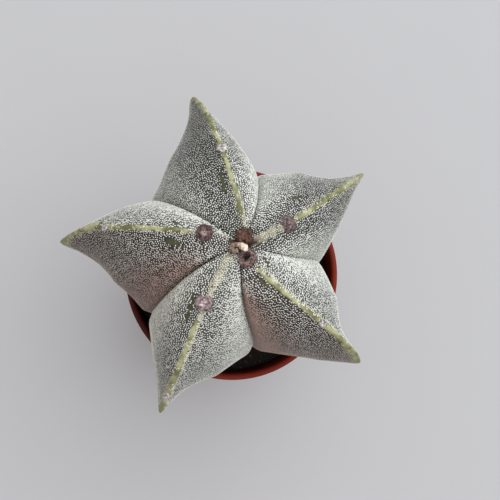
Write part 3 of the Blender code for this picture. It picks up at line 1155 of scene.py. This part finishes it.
@dataclass
class FeltPads:
    """The areoles: felt pads down each crest, crowded and brown at the crown, small and pale once grown.

    The first ones sit as far down as in the photograph, with 0 for one that has worn away. Real hairs are
    too fine to show, so these are fewer and thicker.
    """

    form: CactusForm
    seen_mm: tuple[float, ...] = (2.0, 3.4, 8.4, 11.0, 15.0, 22.5, 25.6, 31.1, 0.0, 40.0)
    spacing: float = 6.2 * MM
    young_radius: float = 1.9 * MM
    old_radius: float = 1.0 * MM
    young_share: float = 0.15
    old_share: float = 0.30
    tip_gap: float = 11.5 * MM
    foot_gap: float = 3.0 * MM
    sunk_share: float = 0.15
    in_crown: int = 2
    crown_rise: float = 0.35
    turn_order: tuple[int, ...] = (2, 0, 3, 1, 4)
    rings: int = 14
    columns: int = 36
    dome: float = 0.62
    foot: float = -0.5
    lobes: int = 7
    lobe_depth: float = 0.16
    edge_lobing: float = 0.6
    hollow_width: float = 0.3
    clump: float = 0.45
    clump_height: float = 0.8
    middle_end: Pair = (0.1, 0.38)
    edge_start: Pair = (0.55, 1.0)
    hair_length: float = 0.4 * MM
    hair_radius: float = 0.05 * MM
    hair_density: float = 18.0e6
    hair_lean: float = 0.9
    hair_least: Triple = (0.8, 0.8, 0.4)
    hair_most: Triple = (1.2, 1.2, 1.15)
    seed: int = 5

    def distances(self, longest: float) -> list[float]:
        """Gives the lengths down the crests at which pads sit, from the newest to the oldest.

        Args:
            longest: the longest crest.

        Returns:
            The lengths.
        """
        found = [distance * MM for distance in self.seen_mm]
        while found[-1] < longest:
            found.append(found[-1] + self.spacing)
        return found

    def places(self) -> list[Pad]:
        """Places the pads, each on the second rib round from the last one, and none on a tip.

        Returns:
            The pads.
        """
        stages = list(PadStage)
        walks = [self.form.crest_walk(rib) for rib in self.form.ribs]
        pads = []
        for number, distance in enumerate(self.distances(max(walked[-1] for _, walked in walks))):
            points, walked = walks[self.turn_order[number % len(walks)]]
            tip = walked[int(self.form.tip_latitude * (len(walked) - 1))]
            worn_away = distance == 0.0 or abs(distance - tip) < self.tip_gap
            if worn_away or distance > walked[-1] - self.foot_gap:
                continue
            look = stages[min(number, len(stages) - 1)].value
            age = float(smooth_step(self.young_share, self.old_share, distance / walked[-1]))
            radius = look.spread * (self.young_radius * (1.0 - age) + self.old_radius * age)
            here, ahead = (
                Vector([np.interp(place, walked, points[:, axis]) for axis in range(3)])
                for place in (distance, distance + radius)
            )
            along = (ahead - here).normalized()
            from_core = here - Vector((0.0, 0.0, self.form.core_height))
            outward = (from_core - along * along.dot(from_core)).normalized()
            sunk = self.sunk_share - self.crown_rise * (number < self.in_crown)
            centre = Vector(self.form.in_pot(here)) - outward * radius * sunk
            pads.append(Pad(number, centre, outward, along, radius, look))
        return pads

    def cushion(self, pad: Pad) -> tuple[Array, Array]:
        """Shapes one pad as rings from its middle to its foot.

        Args:
            pad: the pad.

        Returns:
            The points of its rings and a colour for each.
        """
        look = pad.look
        share = np.linspace(0.0, 1.0, self.rings + 1)[1:, None]
        angle = np.linspace(0.0, math.tau, self.columns, endpoint=False)[None, :]
        lobe = 0.5 + 0.5 * np.cos(self.lobes * angle + pad.number)
        spread = np.sin(share * math.pi * 0.5) * (1.0 - self.lobe_depth * share**3 * (1.0 - lobe))
        dip = look.hollow * np.exp(-((share / self.hollow_width) ** 2))
        dome = np.cos(share * math.pi * self.dome) * look.height - dip + 0.0 * angle
        local = np.stack([spread * np.cos(angle), spread * np.sin(angle), dome], axis=-1).reshape(-1, 3)
        shift = Vector((0.0, 0.0, pad.number))
        clumps = np.array([noise.noise(Vector(spot) / self.clump + shift) for spot in local])
        local[:, 2] += clumps * self.clump_height * look.height
        frame = np.array(Matrix((pad.along, pad.outward.cross(pad.along), pad.outward)))
        points = local * pad.radius @ frame + np.array(pad.centre)
        middle, ring, edge = (np.array(linear(tone)) for tone in (look.middle, look.ring, look.edge))
        inner = smooth_step(*self.middle_end, share)[:, :, None]
        outer = (smooth_step(*self.edge_start, share) * (1.0 - self.edge_lobing * lobe))[:, :, None]
        colour = (middle * (1.0 - inner) + ring * inner) * (1.0 - outer) + edge * outer
        return points, colour.reshape(-1, 4)

    def cushions(self, pads: list[Pad]) -> Piece:
        """Joins the pads' cushions in one mesh, each a closed shell.

        Args:
            pads: the pads.

        Returns:
            The cushions.
        """
        points, colours, faces = [], [], []
        for pad in pads:
            rings, colour = self.cushion(pad)
            shares = (pad.look.height - pad.look.hollow, self.foot)
            top, foot = (np.array(pad.centre + pad.outward * pad.radius * share) for share in shares)
            shell = skin_rings("cushion", np.split(rings, self.rings), top, foot)
            base = len(points)
            points.extend([top, *rings, foot])
            colours.extend([colour[0], *colour, colour[-1]])
            faces.extend([base + corner for corner in face.vertices] for face in shell.polygons)
            bpy.data.meshes.remove(shell)
        mesh = bpy.data.meshes.new("areole_cushions")
        mesh.from_pydata(points, [], faces)
        store(mesh, "felt_colour", np.array(colours), "FLOAT_COLOR")
        dress(mesh, PlantFelt().material())
        return add_piece("areole_cushions", mesh)

    def hairs(self, cushions: Piece) -> Piece:
        """Covers the cushions with short three-sided hairs that lean every way.

        Args:
            cushions: the cushions.

        Returns:
            The hairs.
        """
        sizes = {"Density": self.hair_density, "Length": self.hair_length, "Radius": self.hair_radius}
        sizes["Seed"] = self.seed
        tree, given = start_tree("felt_hairs", sizes)
        inputs = {name: given[name] for name in ("Mesh", "Density", "Seed")}
        spots = add_node(tree, "GeometryNodeDistributePointsOnFaces", inputs, distribute_method="RANDOM")
        inputs = {"Radius Bottom": given["Radius"], "Radius Top": 0.0, "Depth": given["Length"]}
        hair = add_node(tree, "GeometryNodeMeshCone", {"Vertices": 3, **inputs})
        lean = self.hair_lean
        spans = (((-lean, -lean, 0.0), (lean, lean, math.tau)), (self.hair_least, self.hair_most))
        leaning, stretch = (
            add_node(
                tree, "FunctionNodeRandomValue", {0: low, 1: high, "Seed": seed}, data_type="FLOAT_VECTOR"
            )
            for seed, (low, high) in enumerate(spans, 1)
        )
        tilt = add_node(tree, "FunctionNodeEulerToRotation", {0: leaning})
        inputs = {0: spots.outputs["Rotation"], 1: tilt}
        turned = add_node(tree, "FunctionNodeRotateRotation", inputs, rotation_space="LOCAL")
        inputs = {"Points": spots, "Instance": hair, "Rotation": turned, "Scale": stretch}
        placed = add_node(tree, "GeometryNodeInstanceOnPoints", inputs)
        end_tree(tree, placed, PlantFelt("plant_felt_hairs").material())
        return grow("areole_felt", cushions, tree, sizes)

    def build(self) -> list[Piece]:
        """Makes the cushions and their felt.

        Returns:
            The two pieces.
        """
        cushions = self.cushions(self.places())
        felt = self.hairs(cushions)
        return [finish_piece(piece, Slot.FELT) for piece in (cushions, felt)]


@dataclass(frozen=True)
class SkinGrowth:
    """How the skin's traits come and go over a rib.

    Each pair gives where a trait is none and where it is full: from the crown down the crest (from, to),
    out from the crest (across), back from the tip (tip), or as a share (in, on).
    """

    keel_width: float = 0.8 * MM
    keel_widening: float = 0.6 * MM
    keel_softness: float = 0.9 * MM
    keel_from: Pair = (0.0, 3.0 * MM)
    widening_tip: Pair = (24.0 * MM, 8.0 * MM)
    olive_tip: Pair = (12.0 * MM, 2.0 * MM)
    dry_tip: Pair = (4.6 * MM, 1.6 * MM)
    dry_slant: float = 0.8
    cream_from: Pair = (2.0 * MM, 4.0 * MM)
    cream_to: Pair = (16.0 * MM, 12.0 * MM)
    cream_across: Pair = (3.2 * MM, 0.6 * MM)
    line_from: Pair = (6.0 * MM, 10.0 * MM)
    line_across: Pair = (1.2 * MM, 0.3 * MM)
    line_on_keel: Pair = (0.9, 0.5)
    line_cream: float = 0.75
    line_wool: float = 0.35
    brown_from: Pair = (8.0 * MM, 22.0 * MM)
    brown_in: Pair = (0.2, 0.85)
    brown_tip: Pair = (16.0 * MM, 6.0 * MM)
    tip_brown: float = 0.5
    least_flush: float = 0.7
    flush_across: Pair = (0.2 * MM, 1.0 * MM)
    film_from: Pair = (8.0 * MM, 26.0 * MM)
    film_in: float = 0.35
    film_later: float = 0.3
    film_gain: float = 1.2
    gain_in: Pair = (0.0, 0.3)
    bald_on_keel: Pair = (0.4, 0.8)
    bald_on_patch: Pair = (0.2, 0.8)
    keel_bald: float = 0.84
    patch_bald: float = 0.9
    tip_bald: float = 0.6
    flecks_from: Pair = (1.6 * MM, 5.0 * MM)
    least_size: float = 0.9
    size_gain: float = 0.3
    large_in: Pair = (0.3, 0.9)
    large_from: Pair = (6.0 * MM, 16.0 * MM)
    crown_from: Pair = (5.2 * MM, 2.2 * MM)
    soil_in: Pair = (0.9, 1.0)


@dataclass
class CactusBody:
    """The plant: its ribbed skin, lofted from the form, and the wool flecks that cover it."""

    form: CactusForm
    growth: SkinGrowth = SkinGrowth()
    face_steps: int = 44
    upper_rings: int = 118
    lower_rings: int = 46
    neck_rings: int = 8
    neck_blend: float = 0.8
    crest_rounding: float = 1.1 * MM
    tip_rounding: float = 1.6 * MM
    rounded_tip: Pair = (3.0 * MM, 0.5 * MM)
    rounding_start: float = 0.3
    rounding_passes: int = 64
    crease_start: float = 0.9
    crease_depth: float = 1.1 * MM
    crease_from: Pair = (1.0 * MM, 6.0 * MM)
    crease_end: float = 0.85
    lumps: tuple[Pair, ...] = ((6.0 * MM, 0.14 * MM), (2.4 * MM, 0.05 * MM))
    fleck_spacing: float = 0.4 * MM
    fleck_radius: float = 0.142 * MM
    fleck_height: float = 0.05 * MM
    fleck_stretch: float = 1.8
    fleck_swing: float = 0.8
    fleck_sizes: Pair = (0.75, 1.2)
    fleck_sides: int = 6
    rib_margin: float = 0.51
    crowding: float = 10.0
    seed: int = 3

    def shape(self) -> None:
        """Works out the grid of skin points and where each lies on its rib."""
        form = self.form
        tip = form.tip_latitude
        upper = np.linspace(0.0, tip, self.upper_rings + 1)[1:]
        latitude = np.concatenate([upper, np.linspace(tip, 1.0, self.lower_rings + 1)[1:]])
        steps = 0.5 - 0.5 * np.cos(np.linspace(0.0, math.pi, self.face_steps))
        half = self.face_steps - 1
        columns = []
        for number in range(len(form.ribs)):
            columns.append(form.face(number, Side.RIGHT, steps, latitude)[:, :0:-1])
            columns.append(form.face(number, Side.LEFT, steps, latitude)[:, :-1])
        grid = np.concatenate(columns, axis=1)
        self.latitude = latitude
        self.step = np.tile(np.concatenate([steps[:0:-1], steps[:-1]]), len(form.ribs))
        self.rib = np.repeat(np.arange(len(form.ribs)), 2 * half)
        self.right = np.tile(np.arange(2 * half) < half, len(form.ribs))
        crests = np.flatnonzero(self.step == 0.0)
        self.distance = np.linalg.norm(grid - grid[:, crests[self.rib]], axis=2)
        walk = np.linalg.norm(np.diff(grid[:, crests], axis=0, prepend=grid[:1, crests]), axis=2)
        self.walk = np.cumsum(walk, axis=0)[:, self.rib] + np.linalg.norm(grid[0, crests[0], :2])
        reach = np.array([rib.crest.reach for rib in form.ribs])
        self.tip_gap = (reach - np.linalg.norm(grid[:, crests, :2], axis=2))[:, self.rib]
        self.grid = self.rounded(self.creased(grid))

    def creased(self, grid: Array) -> Array:
        """Presses each groove in to a narrow crease, as deep as its rib says.

        Args:
            grid: the skin's points.

        Returns:
            The points, creased.
        """
        depth = np.array([rib.groove.crease for rib in self.form.ribs])
        share = np.where(self.right, depth[self.rib - 1], depth[self.rib])
        press = smooth_step(self.crease_start, 1.0, self.step) ** 2 * share * self.crease_depth
        inward = np.array([0.0, 0.0, self.form.core_height]) - grid
        inward = inward / np.linalg.norm(inward, axis=2, keepdims=True)
        fade = smooth_step(*self.crease_from, np.linalg.norm(grid[:, :, :2], axis=2))
        fade = fade * smooth_step(1.0, self.crease_end, self.latitude)[:, None]
        return grid + inward * (press * fade)[:, :, None]

    def rounded(self, grid: Array) -> Array:
        """Rounds the crests over a real keel's width, and the tips more.

        Args:
            grid: the skin's points.

        Returns:
            The points, rounded.
        """
        reach = self.crest_rounding + self.tip_rounding * smooth_step(*self.rounded_tip, self.tip_gap)
        weight = smooth_step(1.0, self.rounding_start, self.distance / reach)[:, :, None]
        for _ in range(self.rounding_passes):
            between = (np.roll(grid, 1, axis=1) + np.roll(grid, -1, axis=1)) / 2.0
            grid = grid + (between - grid) * weight * 0.5
        return grid

    def neck(self) -> list[Array]:
        """Gives the rings from the soil line down to the end of the round root neck.

        Returns:
            The rings.
        """
        foot = self.grid[-1]
        angle = np.arctan2(foot[:, 1], foot[:, 0])
        round_plan = np.column_stack([np.cos(angle), np.sin(angle)]) * self.form.neck_radius
        rings = []
        for share in np.linspace(0.0, 1.0, self.neck_rings + 1):
            blend = smooth_step(0.0, self.neck_blend, share)
            plan = foot[:, :2] * (1.0 - blend) + round_plan * blend
            rings.append(np.column_stack([plan, np.full(len(plan), -self.form.neck_depth * share)]))
        return rings

    def skin(self) -> Piece:
        """Skins the grid, gives it its low relief and stores where each point lies.

        Returns:
            The skin.
        """
        neck = self.neck()[1:]
        crown = (0.0, 0.0, self.form.height - self.form.dimple)
        mesh = skin_rings("cactus_skin", [*self.grid, *neck], crown, (0.0, 0.0, -self.form.neck_depth))
        points, normals = (
            np.array([getattr(vertex, name) for vertex in mesh.vertices]) for name in ("co", "normal")
        )
        for size, height in self.lumps:
            lumps = np.array([noise.noise(Vector(point) / size) for point in points])
            points = points + normals * (lumps * height)[:, None]
        mesh.vertices.foreach_set("co", self.form.in_pot(points).astype(np.float32).ravel())
        mesh.update()
        self.describe(mesh, len(neck))
        dress(mesh, CactusEpidermis().material())
        return add_piece("cactus_skin", mesh)

    def traits(self) -> dict[str, Array]:
        """Works out what the finishes and the flecks read at each point of the grid.

        Returns:
            The fields by name, each from 0 to 1 except rib and fleck_size.
        """
        step, walk, across, gap, grown = self.step, self.walk, self.distance, self.tip_gap, self.growth
        sides = [(rib.face(Side.LEFT), rib.face(Side.RIGHT)) for rib in self.form.ribs]
        flush, wool, veil, cream, edge, olive = (
            np.array([[getattr(face, name) for face in pair] for pair in sides])[self.rib, self.right * 1]
            for name in ("flush", "wool", "film", "cream", "edge", "olive")
        )
        start = np.array([rib.crest.keel_from for rib in self.form.ribs])[self.rib]
        width = grown.keel_width + grown.keel_widening * smooth_step(*grown.widening_tip, gap)
        width = width + olive * smooth_step(*grown.olive_tip, gap)
        keel = np.clip(0.5 + 0.5 * (width - across) / grown.keel_softness, 0.0, 1.0)
        keel = keel * smooth_step(*grown.keel_from, walk - start)
        tip = smooth_step(*grown.dry_tip, gap + grown.dry_slant * across)
        pale = cream * smooth_step(*grown.cream_from, walk) * smooth_step(*grown.cream_to, walk)
        pale = pale * smooth_step(*grown.cream_across, across)
        line = edge * smooth_step(*grown.line_across, across - width)
        line = line * smooth_step(*grown.line_on_keel, keel) * smooth_step(*grown.line_from, walk)
        brown = smooth_step(*grown.brown_in, step) * smooth_step(*grown.brown_from, walk)
        blush = flush * np.maximum(brown, grown.tip_brown * smooth_step(*grown.brown_tip, gap))
        film = smooth_step(grown.film_in + grown.film_later * flush, 1.0, step)
        film = film * smooth_step(*grown.film_from, walk)
        film = film + grown.film_gain * (wool - 1.0) * smooth_step(*grown.gain_in, step)
        bare = self.bare()
        share = 1.0 - grown.keel_bald * smooth_step(*grown.bald_on_keel, keel)
        share = share - grown.patch_bald * smooth_step(*grown.bald_on_patch, bare)
        share = share * (1.0 - grown.tip_bald * tip) * smooth_step(*grown.flecks_from, walk)
        large = smooth_step(*grown.large_in, step) * smooth_step(*grown.large_from, walk)
        size = wool * (grown.least_size + grown.size_gain * large)
        by_soil = smooth_step(*grown.soil_in, self.latitude[:, None])
        full = np.maximum(grown.least_flush * flush, blush)
        return {
            "flush": full * smooth_step(*grown.flush_across, across),
            "blush": blush,
            "film": veil * np.clip(film, 0.0, 1.0),
            "bare": bare,
            "cream": np.maximum(pale, grown.line_cream * line),
            "keel": keel,
            "tip": tip,
            "crown": smooth_step(*grown.crown_from, walk),
            "cork": by_soil,
            "rib": self.rib,
            "fleck_share": np.clip(share, 0.0, 1.0) * (1.0 - by_soil),
            "fleck_size": size * (1.0 + grown.line_wool * line),
        }

    def bare(self) -> Array:
        """Finds the bare patches.

        Returns:
            1 in the middle of each patch, 0.5 at its edge and 0 a little way out.
        """
        found = np.zeros_like(self.walk)
        letters = [rib.letter for rib in self.form.ribs]
        for patch in BARE_PATCHES:
            down = (self.walk - patch.down * MM) / (patch.length * MM)
            over = (self.distance - patch.across * MM) / (patch.width * MM)
            here = (self.rib == letters.index(patch.letter)) & (self.right == (patch.side is Side.RIGHT))
            found = np.maximum(found, np.clip(1.0 - 0.5 * np.hypot(down, over), 0.0, 1.0) * here)
        return found

    def describe(self, mesh: Mesh, below: int) -> None:
        """Stores the fields that the finishes and the flecks read.

        Args:
            mesh: the skin.
            below: how many rings lie under the soil.
        """
        for name, values in self.traits().items():
            grid = np.broadcast_to(values, self.walk.shape)
            tail = np.repeat(grid[-1:], below, axis=0) * (name != "fleck_share")
            store(mesh, name, np.concatenate([[grid[0, 0]], grid.ravel(), tail.ravel(), [tail[-1, 0]]]))
        along = np.roll(self.grid, -1, axis=1) - np.roll(self.grid, 1, axis=1)
        along = np.concatenate([along.reshape(-1, 3), np.tile(along[-1], (below, 1))])
        pole = [[1.0, 0.0, 0.0]]
        store(mesh, "down_face", np.vstack([pole, along, pole]), "FLOAT_VECTOR")

    def fleck_tree(self, sizes: Sizes) -> Tree:
        """Makes the tree that covers one rib with flecks, drawn out a little down its faces.

        Args:
            sizes: the tree's named inputs with their defaults.

        Returns:
            The tree.
        """
        tree, given = start_tree("fleck_coat", sizes)
        kinds = {"rib": "FLOAT", "fleck_share": "FLOAT", "fleck_size": "FLOAT", "down_face": "FLOAT_VECTOR"}
        rib, share, grown, down_face = (
            add_node(tree, "GeometryNodeInputNamedAttribute", {"Name": name}, data_type=kind)
            for name, kind in kinds.items()
        )
        inputs = {0: rib, 1: given["Rib"], "Epsilon": self.rib_margin}
        on_rib = add_node(tree, "FunctionNodeCompare", inputs, data_type="FLOAT", operation="EQUAL")
        inputs = {
            "Mesh": given["Mesh"],
            "Selection": on_rib,
            "Distance Min": given["Spacing"],
            "Density Max": self.crowding / self.fleck_spacing**2,
            "Density Factor": share,
            "Seed": given["Seed"],
        }
        spots = add_node(tree, "GeometryNodeDistributePointsOnFaces", inputs, distribute_method="POISSON")
        inputs = {"Radius Bottom": given["Radius"], "Radius Top": 0.0, "Depth": given["Height"]}
        fleck = add_node(tree, "GeometryNodeMeshCone", {"Vertices": self.fleck_sides, **inputs})
        inputs = {0: spots.outputs["Normal"], 1: down_face}
        lie = add_node(tree, "FunctionNodeAxesToRotation", inputs, primary_axis="Z", secondary_axis="X")
        spans = (
            (1, -self.fleck_swing, self.fleck_swing),
            (2, *self.fleck_sizes),
            (4, 1.0, given["Stretch"]),
        )
        swing, vary, drawn = (
            add_node(tree, "FunctionNodeRandomValue", {2: low, 3: high, "Seed": seed}, data_type="FLOAT")
            for seed, low, high in spans
        )
        yaw = add_node(tree, "FunctionNodeAxisAngleToRotation", {0: (0.0, 0.0, 1.0), 1: swing})
        turned = add_node(tree, "FunctionNodeRotateRotation", {0: lie, 1: yaw}, rotation_space="LOCAL")
        size = add_node(tree, "ShaderNodeMath", {0: vary, 1: grown}, operation="MULTIPLY")
        longer = add_node(tree, "ShaderNodeMath", {0: size, 1: drawn}, operation="MULTIPLY")
        scale = add_node(tree, "ShaderNodeCombineXYZ", {0: longer, 1: size, 2: 1.0})
        inputs = {"Points": spots, "Instance": fleck, "Rotation": turned, "Scale": scale}
        placed = add_node(tree, "GeometryNodeInstanceOnPoints", inputs)
        end_tree(tree, placed, MattedWool().material())
        return tree

    def flecks(self, skin: Piece) -> list[Piece]:
        """Covers each rib with its flecks.

        Args:
            skin: the skin, with its fields.

        Returns:
            One piece for each rib.
        """
        sizes = {
            "Rib": 0,
            "Spacing": self.fleck_spacing,
            "Radius": self.fleck_radius,
            "Height": self.fleck_height,
            "Stretch": self.fleck_stretch,
            "Seed": self.seed,
        }
        tree = self.fleck_tree(sizes)
        pieces = []
        for number, rib in enumerate(self.form.ribs):
            sizes.update({"Rib": number, "Seed": self.seed + number})
            flecks = grow(f"wool_flecks_{rib.letter}", skin, tree, sizes)
            pieces.append(finish_piece(flecks, Slot.SKIN))
        return pieces

    def build(self, soil: SoilBed) -> list[Piece]:
        """Makes the skin, beds its neck in the soil and covers it with flecks.

        Args:
            soil: the soil that it grows in.

        Returns:
            The skin, the soil's pieces and the flecks.
        """
        self.shape()
        skin = self.skin()
        pieces = [*soil.build([self.form.in_pot(ring) for ring in self.neck()]), *self.flecks(skin)]
        return [*pieces, finish_piece(skin, Slot.SKIN, "cactus_body")]


@dataclass
class CrownTuft:
    """The dry remnant of a flower in the crown: a withered tube, thick at one end and curled at the other.

    Its path runs from the thick pale end round the curl, as steps across, up, height and radius in mm.
    """

    form: CactusForm
    place: Pair = (-0.75 * MM, -0.85 * MM)
    lift: float = 1.8 * MM
    path_mm: tuple[tuple[float, float, float, float], ...] = (
        (1.5, -0.6, -0.1, 0.6),
        (1.4, 0.0, 0.1, 0.9),
        (0.8, 0.35, 0.1, 0.8),
        (0.0, 0.75, -0.1, 0.5),
        (-1.0, 0.8, -0.1, 0.56),
        (-1.7, 0.3, -0.05, 0.6),
        (-1.5, -0.45, 0.0, 0.58),
        (-0.8, -0.8, 0.1, 0.5),
        (-0.2, -0.45, 0.2, 0.36),
    )
    shrunk: float = 0.9
    sides: int = 6
    steps: int = 10
    # Its own tan and cream, laid dark on the left and pale on the right: partly its real colours, partly
    # painted shade and light.
    dark: str = "#85705e"
    light: str = "#eddcc6"
    light_from: Pair = (-0.6 * MM, 0.8 * MM)
    light_wander: float = 0.4 * MM
    wrinkle_size: float = 0.45 * MM
    wrinkle_depth: float = 0.26 * MM
    weld: float = 0.001 * MM

    def tube(self) -> Mesh:
        """Curls the remnant's tube and closes its seams.

        Returns:
            The tube's mesh, round the origin.
        """
        unit = self.shrunk * MM
        curve = bpy.data.curves.new("remnant_path", "CURVE")
        curve.dimensions = "3D"
        curve.bevel_depth = unit
        curve.bevel_resolution = self.sides
        curve.resolution_u = self.steps
        curve.use_fill_caps = True
        spline = curve.splines.new("NURBS")
        spline.points.add(len(self.path_mm) - 1)
        for point, (across, up, height, radius) in zip(spline.points, self.path_mm):
            point.co = (across * unit, up * unit, height * unit, 1.0)
            point.radius = radius
        spline.order_u = 3
        spline.use_endpoint_u = True
        path = bpy.data.objects.new("remnant_path", curve)
        bpy.context.scene.collection.objects.link(path)
        mesh = evaluated_mesh(path)
        bpy.data.objects.remove(path, do_unlink=True)
        shape = bmesh.new()
        shape.from_mesh(mesh)
        bmesh.ops.remove_doubles(shape, verts=shape.verts[:], dist=self.weld)
        bmesh.ops.recalc_face_normals(shape, faces=shape.faces[:])
        shape.to_mesh(mesh)
        shape.free()
        return mesh

    def build(self) -> Piece:
        """Wrinkles the tube, colours it and lays it in the crown.

        Returns:
            The remnant.
        """
        mesh = self.tube()
        local, normals = (
            np.array([getattr(vertex, name) for vertex in mesh.vertices]) for name in ("co", "normal")
        )
        wrinkles = np.array([noise.noise(Vector(spot) / self.wrinkle_size) for spot in local])
        height = self.form.height - self.form.dimple + self.lift
        centre = self.form.in_pot((*self.place, height))
        points = local + normals * (wrinkles * self.wrinkle_depth)[:, None] + centre
        mesh.vertices.foreach_set("co", points.astype(np.float32).ravel())
        # Paler towards +X, the side facing the window: partly its own cream and tan, partly painted light
        # and shade.
        share = smooth_step(*self.light_from, local[:, 0] + self.light_wander * wrinkles)[:, None]
        colour = np.array(linear(self.dark)) * (1.0 - share) + np.array(linear(self.light)) * share
        store(mesh, "felt_colour", colour, "FLOAT_COLOR")
        dress(mesh, PlantFelt("dry_remnant", 0.4 * MM, (0.45, 1.15)).material())
        return finish_piece(add_piece("crown_remnant", mesh), Slot.FELT, "crown_wool")


@dataclass(frozen=True)
class PhotoCamera:
    """The camera of the photograph, found from the pot's rim and the rib tips."""

    lens: float = 57.6
    sensor: float = 36.0
    frame: float = 500.0
    tilt: float = 9.5
    lean: float = 231.0
    distance: float = 206.38 * MM
    nearest: float = 0.01
    rim_middle_pixel: Pair = (232.9, 272.2)

    def place(self, rim_height: float) -> Piece:
        """Sets the camera so that the middle of the pot's rim lands on its pixel.

        Args:
            rim_height: the height of the pot's rim.

        Returns:
            The camera.
        """
        back = toward(self.lean, 90.0 - self.tilt)
        right = Vector((0.0, 1.0, 0.0)).cross(back).normalized()
        up = back.cross(right)
        focal = self.frame * self.lens / self.sensor
        aside = (self.rim_middle_pixel[0] - self.frame / 2.0) * self.distance / focal
        above = (self.frame / 2.0 - self.rim_middle_pixel[1]) * self.distance / focal
        eye = Vector((0.0, 0.0, rim_height)) + back * self.distance - right * aside - up * above
        data = bpy.data.cameras.new("photo_camera")
        data.lens = self.lens
        data.sensor_width = self.sensor
        data.clip_start = self.nearest
        camera = bpy.data.objects.new("photo_camera", data)
        camera.matrix_world = Matrix.Translation(eye) @ Matrix((right, up, back)).transposed().to_4x4()
        bpy.context.scene.collection.objects.link(camera)
        bpy.context.scene.camera = camera
        return camera


@dataclass
class Studio:
    """A pale card in a bright room: a broad window up on the right and a sky that dims away from it."""

    card_size: float = 3.0
    azimuth: float = 42.0
    key_elevation: float = 52.0
    key_distance: float = 1.9
    key_size: float = 2.8
    key_power: float = 31.0
    key_colour: str = "#fbfcff"
    sky_elevation: float = 50.0
    dimmest_facing: float = -0.6
    dim_colour: str = "#fbf0ec"
    dim_strength: float = 0.66
    bright_colour: str = "#f4f6ff"
    bright_strength: float = 1.16

    def build(self) -> None:
        """Lays the card and sets the window and the sky."""
        half = self.card_size / 2.0
        mesh = bpy.data.meshes.new("pale_card")
        corners = [(-half, -half, 0.0), (half, -half, 0.0), (half, half, 0.0), (-half, half, 0.0)]
        mesh.from_pydata(corners, [], [(0, 1, 2, 3)])
        mesh.materials.append(PaleCard().material())
        add_piece("pale_card", mesh)
        direction = toward(self.azimuth, self.key_elevation)
        light = bpy.data.lights.new("window", "AREA")
        light.shape = "SQUARE"
        light.size = self.key_size
        light.energy = self.key_power
        light.color = linear(self.key_colour)[:3]
        window = bpy.data.objects.new("window", light)
        window.location = direction * self.key_distance
        window.rotation_euler = direction.to_track_quat("Z", "Y").to_euler()
        bpy.context.scene.collection.objects.link(window)
        self.sky()
        bpy.context.scene.view_settings.view_transform = "Standard"

    def sky(self) -> None:
        """Makes the sky, brightest toward the window and dim and faintly pink away from it."""
        world = bpy.data.worlds.new("room_sky")
        world.use_nodes = True
        tree = world.node_tree
        heading = add_node(tree, "ShaderNodeTexCoord").outputs["Generated"]
        middle = tuple(toward(self.azimuth, self.sky_elevation))
        facing = add_node(tree, "ShaderNodeVectorMath", {0: heading, 1: middle}, operation="DOT_PRODUCT")
        share = add_node(tree, "ShaderNodeMapRange", {0: facing, 1: self.dimmest_facing, 2: 1.0})
        inputs = {0: share, 6: linear(self.dim_colour), 7: linear(self.bright_colour)}
        tone = add_node(tree, "ShaderNodeMix", inputs, data_type="RGBA")
        inputs = {0: share, 3: self.dim_strength, 4: self.bright_strength}
        strength = add_node(tree, "ShaderNodeMapRange", inputs)
        feed(tree.nodes["Background"], {"Color": tone, "Strength": strength})
        bpy.context.scene.world = world


def main() -> None:
    """Builds the looks of the part, piece by piece."""
    logging.basicConfig(level=logging.INFO, format="%(name)s %(message)s")
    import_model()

    pot = NurseryPot()
    form = CactusForm()
    PhotoCamera().place(pot.height)
    Studio().build()
    pot.build()
    CactusBody(form).build(SoilBed(pot, form))
    FeltPads(form).build()
    CrownTuft(form).build()


if __name__ == "__main__":
    main()
